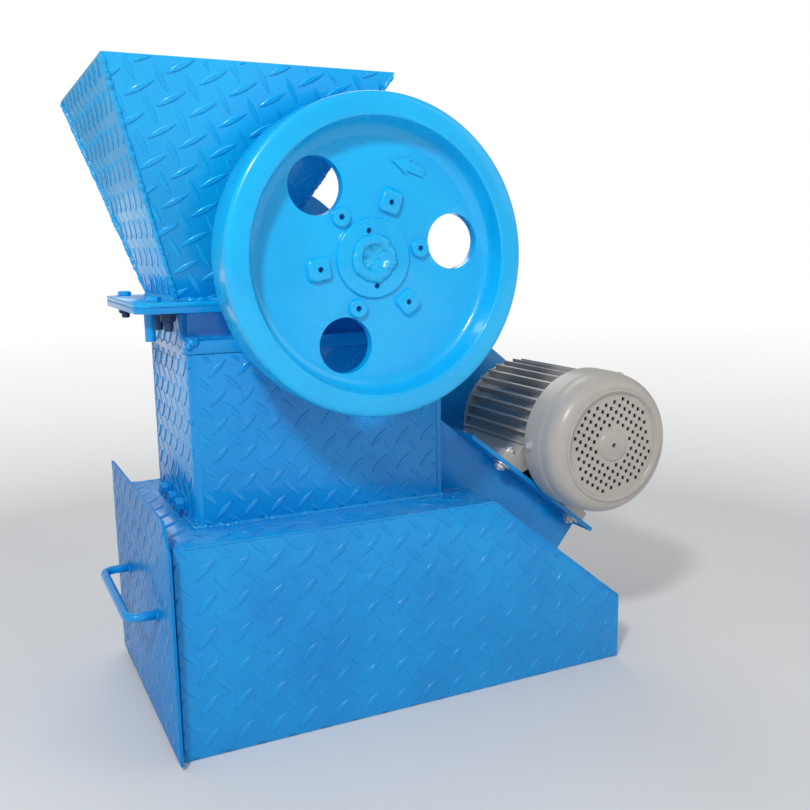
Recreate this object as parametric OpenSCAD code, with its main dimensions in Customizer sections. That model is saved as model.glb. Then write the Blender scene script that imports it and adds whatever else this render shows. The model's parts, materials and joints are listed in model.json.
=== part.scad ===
// Small jaw crusher on a checker plate base, with an electric motor on a sloping shelf.
// Millimetres. X runs from the drawer to the motor, Y from the flywheel to the belt, Z up.
// The origin is the middle of the base, at floor level.

/* [Base] */
// Length of the base on the floor
base_l = 680; // [600:5:760]
// Width of the base
base_w = 372; // [340:2:420]
// Height of the base in front
base_h = 280; // [250:5:330]
// Length of the level top, in front of the slope
base_top_l = 455; // [430:5:500]
// Height of the tail, where the slope ends
tail_h = 100; // [70:5:140]
// Thickness of the base plates
base_t = 4; // [3:0.5:6]
// Gap between the drawer plate and the base
drawer_gap = 5; // [5:0.5:9]

/* [Drawer] */
// Thickness of the drawer's front plate
drawer_t = 4; // [3:0.5:6]
// How far the front plate stands out past each side of the base
drawer_lip = 20; // [10:1:30]
// Height of the front plate's top above the base
drawer_rise = 34; // [20:1:45]
// Height of the front plate's lower edge above the floor
drawer_foot = 6; // [4:1:15]
// Width of the corner that is cut off the front plate
drawer_clip_w = 32; // [10:1:50]
// Height of the corner that is cut off the front plate
drawer_clip_h = 34; // [10:1:60]
// Length of the tray
tray_l = 420; // [360:5:430]
// Height of the tray's walls
tray_h = 112; // [80:2:160]
// Thickness of the tray's sheet
tray_t = 3; // [2:0.5:4]
// Gap between the tray and the base, on each side
tray_gap = 8; // [6:1:14]
// Height of the runner strips on the base floor
runner_h = 8; // [5:1:15]
// Width of the runner strips
runner_w = 24; // [15:1:35]
// Diameter of the handle's bar
handle_d = 12; // [8:1:14]
// Distance between the handle's legs, middle to middle
handle_span = 206; // [150:2:240]
// How far the handle stands out
handle_reach = 44; // [38:1:60]
// Height of the handle above the floor
handle_z = 174; // [120:2:240]

/* [Crusher body] */
// Distance from the base's front edge to the casing
casing_setback = 47; // [40:1:60]
// Length of the casing
casing_l = 361; // [350:1:372]
// Width of the casing
casing_w = 228; // [220:2:250]
// Thickness of the casing's checker plate
casing_t = 3; // [2.5:0.5:5]
// Thickness of the front and rear walls
wall_t = 8; // [6:1:10]
// How far the casing stands out past the frame plates, on each side
frame_step = 27; // [22:1:32]
// Thickness of the frame plates
frame_t = 12; // [10:1:14]
// Height of the frame plates above the base
frame_h = 281; // [271:1:300]
// Height of the ledge bar on each side
ledge_h = 17; // [12:1:24]
// Distance from the ledge bar's top to the frame's top
ledge_drop = 36; // [30:1:44]
// Thickness of the body flange
body_flange_t = 8; // [6:1:10]
// How far the flanges stand out past the casing, on each side
flange_lip = 8; // [6:1:14]
// How far the flanges stand out in front of the casing
flange_nose = 60; // [50:1:70]
// Cut corner of the flanges
flange_clip = 16; // [8:1:22]

/* [Hopper] */
// Length of the hopper at its top
hopper_top_l = 351; // [330:1:380]
// Width of the hopper at its top
hopper_top_w = 386; // [360:2:400]
// Length of the hopper at its bottom
hopper_low_l = 78; // [74:1:84]
// Width of the hopper at its bottom
hopper_low_w = 196; // [190:2:204]
// Height of the hopper above its flange
hopper_h = 276; // [250:2:300]
// How far the top front edge stands out in front of the bottom one
hopper_rake = 88; // [70:1:100]
// Distance from the casing's front to the hopper's bottom edge, negative when it stands out
hopper_inset = -4; // [-8:1:2]
// Thickness of the hopper's checker plate
hopper_t = 3; // [2.5:0.5:4]
// Thickness of the hopper flange
hopper_flange_t = 6; // [5:1:9]
// Width of the hopper flange behind the hopper
hopper_flange_back = 14; // [10:1:18]

/* [Jaws] */
// Thickness of the toothed jaw plates, without the teeth
jaw_t = 14; // [10:1:18]
// Height of the jaw teeth
tooth_h = 6; // [4:0.5:8]
// Pitch of the jaw teeth
tooth_pitch = 20; // [16:1:28]
// Opening between the jaws at the top
gape = 54; // [48:1:60]
// Opening between the jaws at the bottom
discharge = 14; // [8:1:24]
// Height of the jaw plates
jaw_h = 236; // [200:2:244]
// Thickness of the cheek plates
cheek_t = 5; // [4:0.5:6]
// Gap between the moving jaw and the cheek plates
jaw_gap = 1.5; // [1:0.5:3]
// Thickness of the toggle plate
toggle_t = 12; // [10:1:16]

/* [Shaft and flywheel] */
// Distance from the base's front edge to the shaft
shaft_x = 260; // [256:1:266]
// Height of the shaft above the body flange
shaft_rise = 56; // [55:1:62]
// Diameter of the shaft
shaft_d = 50; // [40:1:56]
// Running clearance of the shaft in its bearings
run_gap = 0.05; // [0.02:0.01:0.1]
// Diameter of the flywheel
fly_d = 390; // [376:2:410]
// Width of the flywheel's rim
fly_w = 62; // [56:1:70]
// Thickness of the rim
fly_rim_t = 29; // [22:1:36]
// Depth of the recess in the outer face
fly_recess = 33; // [26:1:38]
// Thickness of the web
fly_web_t = 14; // [10:1:18]
// Gap between the flywheel and the side of the hopper
fly_gap = 5.5; // [5:0.5:12]
// Radius of the three through holes
fly_hole_r = 35; // [28:1:39]
// Radius of the circle that the through holes lie on
fly_hole_pitch_r = 113; // [106:1:115]
// Radius of the hub disc
fly_hub_r = 48; // [44:1:52]
// How far the hub disc stands out of the web
fly_hub_rise = 4; // [2:0.5:14]
// Length of the bearing blocks
bearing_l = 206; // [190:2:212]
// Width of the bearing blocks' feet
bearing_w = 44; // [38:1:45]

/* [Motor shelf] */
// Height of the shelf's top above the slope
shelf_h = 66; // [56:1:80]
// Thickness of the shelf plate
shelf_t = 6; // [5:1:10]
// Length of the shelf plate
shelf_l = 276; // [262:2:290]
// Distance from the slope's top edge to the shelf's lower end, along the slope
shelf_end = 216; // [210:2:226]
// Width of the shelf plate
shelf_w = 236; // [230:2:250]
// Distance from the base's side to the shelf's near edge
shelf_inset = 50; // [44:1:60]
// Distance from the shelf's near edge to the bracket plate
bracket_inset = 40; // [34:1:46]
// Thickness of the bracket plates
bracket_t = 6; // [5:1:8]

/* [Motor] */
// Height of the motor's axis above its feet
motor_h = 100; // [96:1:104]
// Distance along the slope from its top edge to the motor's axis
motor_s = 96; // [90:1:104]
// Diameter of the fan cowl
cowl_d = 212; // [204:1:216]
// Length of the fan cowl
cowl_l = 78; // [70:1:90]
// Length of the finned frame
motor_frame_l = 196; // [180:2:206]
// Diameter of the frame without its fins
motor_core_d = 168; // [156:2:180]
// Number of fins round the frame
fin_n = 36; // [24:1:48]
// Height of the fins
fin_h = 16; // [10:1:18]
// Thickness of the fins
fin_t = 3; // [2.5:0.5:4]
// Length of the end shield
shield_l = 40; // [30:1:50]
// Distance between the motor's feet holes, across the axis
foot_a = 160; // [150:1:170]
// Distance between the motor's feet holes, along the axis
foot_b = 140; // [130:1:150]
// Distance from the shelf's near edge to the first foot hole
foot_edge = 20; // [18:1:26]
// Distance from the cowl's end face to the first foot hole
foot_to_cowl = 111; // [104:1:120]
// Diameter of the motor's shaft
motor_shaft_d = 28; // [24:1:30]

/* [Belt drive] */
// Radius of the driven pulley
driven_r = 76; // [66:1:77]
// Radius of the motor pulley
driver_r = 38; // [34:1:44]
// Width of the pulleys
pulley_w = 26; // [24:1:30]
// Width of the belt at its back
belt_w = 13; // [12:0.5:17]
// Thickness of the belt
belt_t = 8; // [6:0.5:9]
// Angle between the belt's two flanks
belt_angle = 38; // [34:1:40]
// Thickness of the guard's sheet
guard_t = 2; // [1.5:0.5:3]
// Gap between the pulleys and the guard, sideways
guard_side = 5; // [5:0.5:9]
// Gap between the driven pulley and the guard's rim
guard_shaft_gap = 27; // [16:1:32]
// Gap between the motor pulley and the guard's rim
guard_motor_gap = 47; // [30:1:52]
// Gap between the guard and the hopper's rear wall
guard_clear = 3; // [1:0.5:4]

/* [Hidden] */
$fn = 64;
PAINT = [0.08, 0.62, 0.90];
STEEL = [0.70, 0.72, 0.75];
CAST = [0.45, 0.45, 0.46];
GREY = [0.55, 0.54, 0.52];
RUBBER = [0.12, 0.12, 0.12];

front_x = -base_l / 2;
near_y = -base_w / 2;

// The slope of the base, and the frame that lies on it
slope_a = atan2(base_h - tail_h, base_l - base_top_l);
fold_x = front_x + base_top_l;
// A point of the XZ plane that lies s down the slope and h above it
function on_slope(s, h) = [fold_x + s * cos(slope_a) + h * sin(slope_a),
                           base_h - s * sin(slope_a) + h * cos(slope_a)];

// Casing, frame and flanges
casing_x = front_x + casing_setback;
casing_end = casing_x + casing_l;
frame_w = casing_w - 2 * frame_step;
frame_top = base_h + frame_h;
ledge_top = frame_top - ledge_drop;
chamber_w = frame_w - 2 * frame_t;
flange_top = frame_top + body_flange_t;
flange_w = casing_w + 2 * flange_lip;
flange_x = casing_x - flange_nose;
seat_z = flange_top + hopper_flange_t;

// Hopper
hopper_x = casing_x + hopper_inset;
hopper_flange_end = hopper_x + hopper_low_l + hopper_flange_back;

// Shaft line
shaft = [front_x + shaft_x, flange_top + shaft_rise];
// Half the hopper's width at the height of the flywheel's top
beside_fly = hopper_low_w / 2 + (hopper_top_w - hopper_low_w) / 2
             * min(1, (shaft[1] + fly_d / 2 - seat_z) / hopper_h);
fly_back = -beside_fly - fly_gap;
fly_front = fly_back - fly_w;
bearing_y = frame_w / 2 - frame_t + 1 + bearing_w / 2;

// Jaws
fixed_face = casing_x + wall_t + jaw_t + tooth_h;
jaw_top = frame_top - 6;
jaw_foot = jaw_top - jaw_h;
jaw_top_x = fixed_face + gape + tooth_h;
jaw_foot_x = fixed_face + discharge + tooth_h;
jaw_w = chamber_w - 2 * cheek_t - 2 * jaw_gap;

// Belt drive
motor_xz = on_slope(motor_s, shelf_h + motor_h);
guard_y = max(flange_w / 2, bearing_y + bearing_w / 2 + 2);
pulley_y = guard_y + guard_t + guard_side;
belt_y = pulley_y + pulley_w / 2;
guard_w = 2 * guard_t + 2 * guard_side + pulley_w;
drive_l = norm(motor_xz - shaft);
drive_a = atan2(motor_xz[1] - shaft[1], motor_xz[0] - shaft[0]);

// Motor, measured along its own axis
foot_y = near_y + shelf_inset + foot_edge;
cowl_y = foot_y - foot_to_cowl;
motor_frame_y = cowl_y + cowl_l;
shield_y = motor_frame_y + motor_frame_l;

// A plate whose outline lies in the XZ plane, from y, of thickness t towards +Y
module plate_xz(points, y, t) {
    slab_xz(y, t) polygon(points);
}

// Whatever outline its children draw in the XZ plane, from y, of thickness t towards +Y
module slab_xz(y, t) {
    translate([0, y + t, 0]) rotate([90, 0, 0]) linear_extrude(t) children();
}

// A round bar along Y
module bar_y(p, r, y, l) {
    translate([p[0], y + l, p[1]]) rotate([90, 0, 0]) cylinder(r = r, h = l);
}

// The points of an arc round c, from angle a to angle b
function arc(c, r, a, b, steps = 6) =
    [for (i = [0 : steps]) c + r * [cos(a + (b - a) * i / steps), sin(a + (b - a) * i / steps)]];

// A box from its low corner
module box(low, size) {
    translate(low) cube(size);
}

// A disc of radius r1 round the main shaft, one of radius r2 round the motor's shaft, and the
// band between their outer tangents, from y, of thickness t towards +Y
module drive_loop(r1, r2, y, t) {
    b = acos((r1 - r2) / drive_l);
    high = [cos(drive_a + b), sin(drive_a + b)];
    low = [cos(drive_a - b), sin(drive_a - b)];
    bar_y(shaft, r1, y, t);
    bar_y(motor_xz, r2, y, t);
    plate_xz([shaft, shaft + r1 * high, motor_xz + r2 * high, motor_xz, motor_xz + r2 * low,
              shaft + r1 * low], y, t);
}

// Base

base_outline = [[front_x, 0], [front_x + base_l, 0], [front_x + base_l, tail_h],
                [fold_x, base_h], [front_x, base_h]];

module base_side(y) {
    color(PAINT) plate_xz(base_outline, y, base_t);
}

module base_side_near() {
    base_side(near_y);
}

module base_side_far() {
    base_side(-near_y - base_t);
}

base_inner_w = base_w - 2 * base_t;
base_end = front_x + base_l;
// Inner corners of the mitres at the fold and at the tail
fold_in = [fold_x - base_t * tan(slope_a / 2), base_h - base_t];
tail_in = [base_end - base_t,
           base_h - (base_end - base_t - fold_x) * tan(slope_a) - base_t / cos(slope_a)];

// Length of the hole through the base top, under the jaws
discharge_l = 128;

module base_top_plate() {
    color(PAINT) difference() {
        plate_xz([[front_x, fold_in[1]], fold_in, [fold_x, base_h], [front_x, base_h]],
                 -base_inner_w / 2, base_inner_w);
        box([casing_x + wall_t, -chamber_w / 2 + cheek_t, base_h - 2 * base_t],
            [discharge_l, chamber_w - 2 * cheek_t, 3 * base_t]);
    }
}

module base_slope_plate() {
    color(PAINT) plate_xz([fold_in, tail_in, [base_end, tail_h], [fold_x, base_h]],
                          -base_inner_w / 2, base_inner_w);
}

module base_tail_plate() {
    color(PAINT) plate_xz([[tail_in[0], base_t], [base_end, base_t], [base_end, tail_h], tail_in],
                          -base_inner_w / 2, base_inner_w);
}

module base_floor() {
    color(PAINT) box([front_x, -base_inner_w / 2, 0], [base_l, base_inner_w, base_t]);
}

module drawer_runners() {
    color(STEEL) for (side = [-1, 1])
        box([front_x, side * (tray_w / 2 - runner_w) - (side < 0 ? runner_w : 0), base_t],
            [tray_l, runner_w, runner_h]);
}

// Casing and frame

casing_h = ledge_top - ledge_h - base_h;

module casing_side(y) {
    color(PAINT) box([casing_x + wall_t, y, base_h], [casing_l - 2 * wall_t, casing_t, casing_h]);
}

module casing_side_near() {
    casing_side(-casing_w / 2);
}

module casing_side_far() {
    casing_side(casing_w / 2 - casing_t);
}

// The front and rear walls are as wide as the casing below the ledges, and as the frame above
module casing_end_wall(x) {
    color(PAINT) plate_yz([[-casing_w / 2, base_h], [casing_w / 2, base_h],
                           [casing_w / 2, base_h + casing_h], [frame_w / 2, base_h + casing_h],
                           [frame_w / 2, frame_top], [-frame_w / 2, frame_top],
                           [-frame_w / 2, base_h + casing_h], [-casing_w / 2, base_h + casing_h]],
                          x, wall_t);
}

module casing_front() {
    casing_end_wall(casing_x);
}

module casing_rear() {
    casing_end_wall(casing_end - wall_t);
}

// A plate whose outline lies in the YZ plane, from x, of thickness t towards +X
module plate_yz(points, x, t) {
    translate([x, 0, 0]) rotate([90, 0, 90]) linear_extrude(t) polygon(points);
}

ledge_w = frame_step + 2;

module ledge(y) {
    color(PAINT) box([casing_x, y, base_h + casing_h], [casing_l, ledge_w, ledge_h]);
}

module ledge_near() {
    ledge(-frame_w / 2 - ledge_w);
}

module ledge_far() {
    ledge(frame_w / 2);
}

module frame_plate(y) {
    color(PAINT) box([casing_x + wall_t, y, base_h], [casing_l - 2 * wall_t, frame_t, frame_h]);
}

module frame_plate_near() {
    frame_plate(-frame_w / 2);
}

module frame_plate_far() {
    frame_plate(frame_w / 2 - frame_t);
}

// The outline of a flange in the XY plane, with its two front corners cut off
module flange_2d(end) {
    w = flange_w / 2;
    polygon([[flange_x + flange_clip, -w], [end, -w], [end, w], [flange_x + flange_clip, w],
             [flange_x, w - flange_clip], [flange_x, flange_clip - w]]);
}

// The opening in the body flange, over the jaws
mouth_x = casing_x + wall_t;
mouth_end = casing_end - wall_t - 40;

module body_flange() {
    color(PAINT) translate([0, 0, frame_top]) linear_extrude(body_flange_t) difference() {
        flange_2d(casing_end);
        translate([mouth_x, -chamber_w / 2]) square([mouth_end - mouth_x, chamber_w]);
    }
}

module hopper_flange() {
    color(PAINT) translate([0, 0, flange_top]) linear_extrude(hopper_flange_t) difference() {
        flange_2d(hopper_flange_end);
        translate([mouth_x, -chamber_w / 2])
            square([hopper_x + hopper_low_l - hopper_t - mouth_x, chamber_w]);
    }
}

// Hopper

// The four corners of the hopper at its bottom or top, drawn in by a distance
function hopper_ring(x, l, w, z, in) = [[x + in, -w / 2 + in, z], [x + l - in, -w / 2 + in, z],
                                        [x + l - in, w / 2 - in, z], [x + in, w / 2 - in, z]];
hopper_low = [for (in = [0, hopper_t])
              hopper_ring(hopper_x, hopper_low_l, hopper_low_w, seat_z, in)];
hopper_top = [for (in = [0, hopper_t])
              hopper_ring(hopper_x - hopper_rake, hopper_top_l, hopper_top_w, seat_z + hopper_h, in)];

// One wall of the hopper, mitred at its corners, from corner i to the next
module hopper_wall(i) {
    j = (i + 1) % 4;
    color(PAINT) polyhedron(
        points = [hopper_low[0][i], hopper_low[0][j], hopper_low[1][j], hopper_low[1][i],
                  hopper_top[0][i], hopper_top[0][j], hopper_top[1][j], hopper_top[1][i]],
        faces = [[0, 1, 2, 3], [7, 6, 5, 4], [0, 4, 5, 1], [1, 5, 6, 2], [2, 6, 7, 3], [3, 7, 4, 0]]);
}

module hopper_side_near() {
    hopper_wall(0);
}

module hopper_rear() {
    hopper_wall(1);
}

module hopper_side_far() {
    hopper_wall(2);
}

module hopper_front() {
    hopper_wall(3);
}

// Jaws

// The outline of a toothed plate in the XY plane, teeth towards +X, w wide
module toothed_2d(w) {
    n = floor(w / tooth_pitch);
    start = -n * tooth_pitch / 2;
    polygon(concat([[0, -w / 2], [jaw_t, -w / 2]],
                   [for (i = [0 : n - 1], k = [0, 1, 2, 3])
                    [jaw_t + (k == 1 || k == 2 ? tooth_h : 0),
                     start + (i + [0.1, 0.35, 0.65, 0.9][k]) * tooth_pitch]],
                   [[jaw_t, w / 2], [0, w / 2]]));
}

module fixed_jaw() {
    color(CAST) translate([casing_x + wall_t, 0, jaw_foot]) linear_extrude(jaw_h)
        toothed_2d(chamber_w - 2 * cheek_t);
}

// The moving plate leans back at the top and is a little shorter than the fixed one
swing_a = atan2(jaw_top_x - jaw_foot_x, jaw_h);
swing_h = jaw_h - 8;

module swing_jaw_plate() {
    color(CAST) translate([jaw_foot_x, 0, jaw_foot]) rotate([0, swing_a, 0])
        translate([jaw_t, 0, 0]) mirror([1, 0, 0]) linear_extrude(swing_h) toothed_2d(jaw_w);
}

// Thickness of the moving jaw round the shaft, and at its foot
barrel_t = 34;
swing_foot_t = 46;
barrel_r = shaft_d / 2 + barrel_t;
// Points of the moving jaw's casting, in the XZ plane
swing_low = [jaw_foot_x + jaw_t * cos(swing_a), jaw_foot - jaw_t * sin(swing_a)];
swing_high = swing_low + swing_h * [sin(swing_a), cos(swing_a)];

// The toggle plate's ends lie in grooves, one in the moving jaw and one in the seat
toggle_rise = 30;
toggle_z = jaw_foot + toggle_rise;
toggle_x = swing_low[0] + swing_foot_t;
groove_w = 16;
groove_in = 10;
// Half the width of the jaw's groove at its mouth
groove_mouth = 14;

module moving_jaw() {
    color(CAST) difference() {
        slab_xz(-jaw_w / 2, jaw_w) {
            translate(shaft) circle(barrel_r);
            polygon([swing_low, [toggle_x, swing_low[1]], [toggle_x, toggle_z - groove_mouth],
                     [toggle_x - groove_in, toggle_z - groove_w / 2],
                     [toggle_x - groove_in, toggle_z + groove_w / 2],
                     [toggle_x, toggle_z + groove_mouth], shaft + (barrel_r - 2) * [cos(30), -sin(30)],
                     shaft + [0, barrel_r - 6], [swing_high[0] + 2, swing_high[1] + 20], swing_high]);
        }
        bar_y(shaft, shaft_d / 2 + run_gap, -jaw_w, 2 * jaw_w);
    }
}

// Length of the cheek plates, past the moving plate at its top
cheek_l = wall_t + jaw_t + gape + 20;

module cheek_plates() {
    color(CAST) for (side = [-1, 1])
        box([casing_x + wall_t, side < 0 ? -chamber_w / 2 : chamber_w / 2 - cheek_t, jaw_foot],
            [cheek_l, cheek_t, jaw_h]);
}

// Length and height of the block behind the toggle plate
seat_l = 84;
seat_h = 60;
seat_x = casing_end - wall_t - seat_l;

module toggle_plate() {
    r = toggle_t / 2;
    start = toggle_x - groove_in + r;
    end = seat_x + groove_in - r;
    color(CAST) slab_xz(-jaw_w / 2, jaw_w) {
        translate([start, toggle_z]) circle(r);
        translate([start, toggle_z - r]) square([end - start, toggle_t]);
        translate([end, toggle_z]) circle(r);
    }
}

module toggle_seat() {
    color(CAST) slab_xz(-chamber_w / 2, chamber_w) difference() {
        translate([seat_x, toggle_z - seat_h / 2]) square([seat_l, seat_h]);
        translate([seat_x - 1, toggle_z - groove_w / 2]) square([groove_in + 1, groove_w]);
    }
}

// Bearings, shaft and flywheel

// Thickness of the bearing block's foot, and the distance of its bolts from the shaft
foot_t = 20;
bolt_x = 79;
bolt_hole_r = 9;
// Radius and width of the round housing, and of the collar that stands out on both sides of it
housing_r = 56;
housing_w = 36;
collar_r = 42;
collar_w = 40;
// Half the width of the housing's flared base, at the foot and where it meets the housing
flare_low = 66;
flare_high = 54;
flare_rise = 14;

module bearing(y) {
    seat = flange_top - shaft[1];
    color(PAINT) translate([shaft[0], 0, shaft[1]]) difference() {
        union() {
            slab_xz(y - housing_w / 2, housing_w) {
                circle(housing_r);
                polygon([[-flare_low, seat + foot_t - 2], [flare_low, seat + foot_t - 2],
                         [flare_high, flare_rise], [-flare_high, flare_rise]]);
            }
            difference() {
                translate([0, y, seat]) linear_extrude(foot_t) foot_2d();
                for (side = [-1, 1])
                    translate([side * bolt_x, y, seat - 1]) cylinder(r = bolt_hole_r, h = foot_t + 2);
            }
            bar_y([0, 0], collar_r, y - collar_w / 2, collar_w);
        }
        bar_y([0, 0], shaft_d / 2 + run_gap, y - collar_w, 2 * collar_w);
    }
}

// The foot of a bearing block, with round ends
module foot_2d() {
    l = bearing_l - bearing_w;
    translate([-l / 2, 0]) circle(bearing_w / 2);
    translate([-l / 2, -bearing_w / 2]) square([l, bearing_w]);
    translate([l / 2, 0]) circle(bearing_w / 2);
}

module bearing_near() {
    bearing(-bearing_y);
}

module bearing_far() {
    bearing(bearing_y);
}

// Depth of the hub's face and of the web's back, from the outer face
fly_hub_face = fly_recess - fly_hub_rise;
fly_web_back = fly_recess + fly_web_t;
// How far the hub stands out behind the rim
fly_hub_back = 6;
shaft_start = fly_front + fly_hub_face - 1;
shaft_end = pulley_y + pulley_w + 3;

module main_shaft() {
    color(STEEL) bar_y(shaft, shaft_d / 2, shaft_start, shaft_end - shaft_start);
}

fly_r = fly_d / 2;
fly_in = fly_r - fly_rim_t;
// Radius of the rim's edges, and of the fillets between rim and web, in front and behind
fly_edge = 4;
fly_fillet = 16;
fly_back_fillet = min(8, fly_w - fly_web_back - fly_edge - 1);

// Half of the flywheel's section: radius across, depth from the outer face up
fly_section = concat(
    [[shaft_d / 2 + run_gap, fly_hub_face], [fly_hub_r, fly_hub_face], [fly_hub_r + 3, fly_recess]],
    arc([fly_in - fly_fillet, fly_recess - fly_fillet], fly_fillet, 90, 0),
    arc([fly_in + fly_edge, fly_edge], fly_edge, 180, 270),
    arc([fly_r - fly_edge, fly_edge], fly_edge, 270, 360),
    arc([fly_r - fly_edge, fly_w - fly_edge], fly_edge, 0, 90),
    arc([fly_in + fly_edge, fly_w - fly_edge], fly_edge, 90, 180),
    arc([fly_in - fly_back_fillet, fly_web_back + fly_back_fillet], fly_back_fillet, 0, -90),
    [[fly_hub_r + 3, fly_web_back], [fly_hub_r, fly_w + fly_hub_back],
     [shaft_d / 2 + run_gap, fly_w + fly_hub_back]]);

// Angles of the through holes and the round bosses, of the square bosses, and of the hub's holes
round_a = [10, 130, 250];
square_a = [70, 190, 310];
hub_hole_a = [100, 276];
// Height of the bosses, and the radius and circle of the round ones
boss_h = 6;
boss_r = 10;
boss_pitch_r = 66;
// Length and width of the square bosses, and their circle
pad = [28, 26];
pad_pitch_r = 71;
// Radius and depth of the small holes, and the circle of those in the hub
small_r = 3.5;
small_depth = fly_recess + 8;
hub_hole_pitch_r = 34;

// Drills holes of radius r at some angles on a circle, from the outer face to a depth
module fly_holes(angles, pitch_r, r, depth) {
    for (a = angles)
        rotate(a) translate([pitch_r, 0, -1]) cylinder(r = r, h = depth + 1);
}

module flywheel() {
    color(PAINT) translate([shaft[0], fly_front, shaft[1]]) rotate([-90, 0, 0]) mirror([0, 1, 0])
        difference() {
            union() {
                rotate_extrude() polygon(fly_section);
                for (a = round_a)
                    rotate(a) translate([boss_pitch_r, 0, fly_recess - boss_h])
                        cylinder(r = boss_r, h = boss_h + 1);
                for (a = square_a)
                    rotate(a) translate([pad_pitch_r - pad[0] / 2, -pad[1] / 2, fly_recess - boss_h])
                        cube([pad[0], pad[1], boss_h + 1]);
            }
            fly_holes(round_a, fly_hole_pitch_r, fly_hole_r, fly_w + 1);
            fly_holes(round_a, boss_pitch_r, small_r, small_depth);
            fly_holes(square_a, pad_pitch_r, small_r, small_depth);
            fly_holes(hub_hole_a, hub_hole_pitch_r, small_r, small_depth);
        }
}

// Gap between the belt and the groove, on each flank
belt_gap = 0.5;
// Depth of the groove under the belt
groove_d = belt_t + 3;
// Half the belt's or the groove's width, at a depth below the rim
function belt_half(depth) = belt_w / 2 - depth * tan(belt_angle / 2);

// A pulley with one belt groove, its bore along Y
module pulley(p, r, bore) {
    groove = [belt_half(0) + belt_gap, belt_half(groove_d) + belt_gap];
    translate([p[0], belt_y, p[1]]) rotate([-90, 0, 0]) rotate_extrude()
        polygon([[bore, -pulley_w / 2], [r, -pulley_w / 2], [r, -groove[0]], [r - groove_d, -groove[1]],
                 [r - groove_d, groove[1]], [r, groove[0]], [r, pulley_w / 2], [bore, pulley_w / 2]]);
}

module driven_pulley() {
    color(CAST) pulley(shaft, driven_r, shaft_d / 2 + run_gap);
}

module motor_pulley() {
    color(CAST) pulley(motor_xz, driver_r, motor_shaft_d / 2 + run_gap);
}

// Steps of the belt's turn round each pulley
belt_steps = 24;
// Half of the angle over which the belt bears on the motor pulley
belt_wrap = acos((driven_r - driver_r) / drive_l);

// The four corners of the belt's section, at an angle round a pulley of radius r at p
function belt_corners(p, r, a) =
    [for (c = [[0, -1], [0, 1], [belt_t, 1], [belt_t, -1]])
     [p[0] + (r - c[0]) * cos(a), belt_y + c[1] * belt_half(c[0]), p[1] + (r - c[0]) * sin(a)]];

// The belt lies in the grooves: its back is level with the pulleys' rims
module drive_belt() {
    turns = [[shaft, driven_r, drive_a + belt_wrap, 360 - 2 * belt_wrap],
             [motor_xz, driver_r, drive_a - belt_wrap, 2 * belt_wrap]];
    points = [for (turn = turns, i = [0 : belt_steps], corner =
              belt_corners(turn[0], turn[1], turn[2] + turn[3] * i / belt_steps)) corner];
    n = len(points);
    color(RUBBER) polyhedron(points = points, faces = [for (i = [0 : 4 : n - 4], k = [0 : 3])
        [i + k, i + (k + 1) % 4, (i + 4 + (k + 1) % 4) % n, (i + 4 + k) % n]]);
}

// The lower and the upper edge of the hopper's rear wall, in the XZ plane
rear_low = [hopper_x + hopper_low_l, seat_z];
rear_high = [hopper_x - hopper_rake + hopper_top_l, seat_z + hopper_h];

// The guard round both pulleys, with a flat beside the hopper. A skin of 0 gives its inside
module guard_form(skin, y, t) {
    rear_a = atan2(rear_high[1] - rear_low[1], rear_high[0] - rear_low[0]);
    difference() {
        drive_loop(driven_r + guard_shaft_gap + skin, driver_r + guard_motor_gap + skin, y, t);
        translate([rear_low[0], y - 1, rear_low[1]]) rotate([0, -rear_a, 0])
            translate([-hopper_h, 0, skin - guard_t - guard_clear]) cube([3 * hopper_h, t + 2, hopper_h]);
    }
}

// Gap round the shafts where they pass through the guard
guard_hole_gap = 6;

module belt_guard() {
    color(PAINT) difference() {
        guard_form(guard_t, guard_y, guard_w);
        guard_form(0, guard_y + guard_t, guard_w - 2 * guard_t);
        bar_y(shaft, shaft_d / 2 + guard_hole_gap, guard_y - 1, guard_t + 2);
        bar_y(motor_xz, motor_shaft_d / 2 + guard_hole_gap, guard_y - 1, guard_t + 2);
    }
}

// Motor shelf

// Distance from the shelf's lower end to the bracket plates' end
bracket_end = 6;

module bracket(y) {
    under = shelf_h - shelf_t;
    start_s = (casing_end - fold_x - under * sin(slope_a)) / cos(slope_a);
    end_s = shelf_end - bracket_end;
    color(PAINT) plate_xz([[casing_end, base_h], [fold_x, base_h], on_slope(end_s, 0),
                           on_slope(end_s, under), on_slope(start_s, under)], y, bracket_t);
}

module bracket_near() {
    bracket(near_y + shelf_inset + bracket_inset);
}

module bracket_far() {
    bracket(near_y + shelf_inset + shelf_w - bracket_inset + 20);
}

module motor_shelf() {
    color(PAINT) difference() {
        plate_xz([on_slope(shelf_end - shelf_l, shelf_h - shelf_t), on_slope(shelf_end, shelf_h - shelf_t),
                  on_slope(shelf_end, shelf_h), on_slope(shelf_end - shelf_l, shelf_h)],
                 near_y + shelf_inset, shelf_w);
        foot_holes();
    }
}

foot_hole_r = 6;

// Drills the four foot holes
module foot_holes() {
    for (side = [-1, 1], y = [foot_y, foot_y + foot_b]) {
        p = on_slope(motor_s + side * foot_a / 2, shelf_h - shelf_t - 1);
        translate([p[0], y, p[1]]) rotate([0, slope_a, 0]) cylinder(r = foot_hole_r, h = shelf_t + 18);
    }
}

// Motor

// Turns an outline of the motor from its own frame, feet down, onto the shelf
module on_motor() {
    translate(motor_xz) rotate(-slope_a) children();
}

// Thickness of the feet, and how far they stand out round the foot holes
foot_pad_t = 12;
foot_pad_out = 14;
foot_pad_l = 20;

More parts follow.
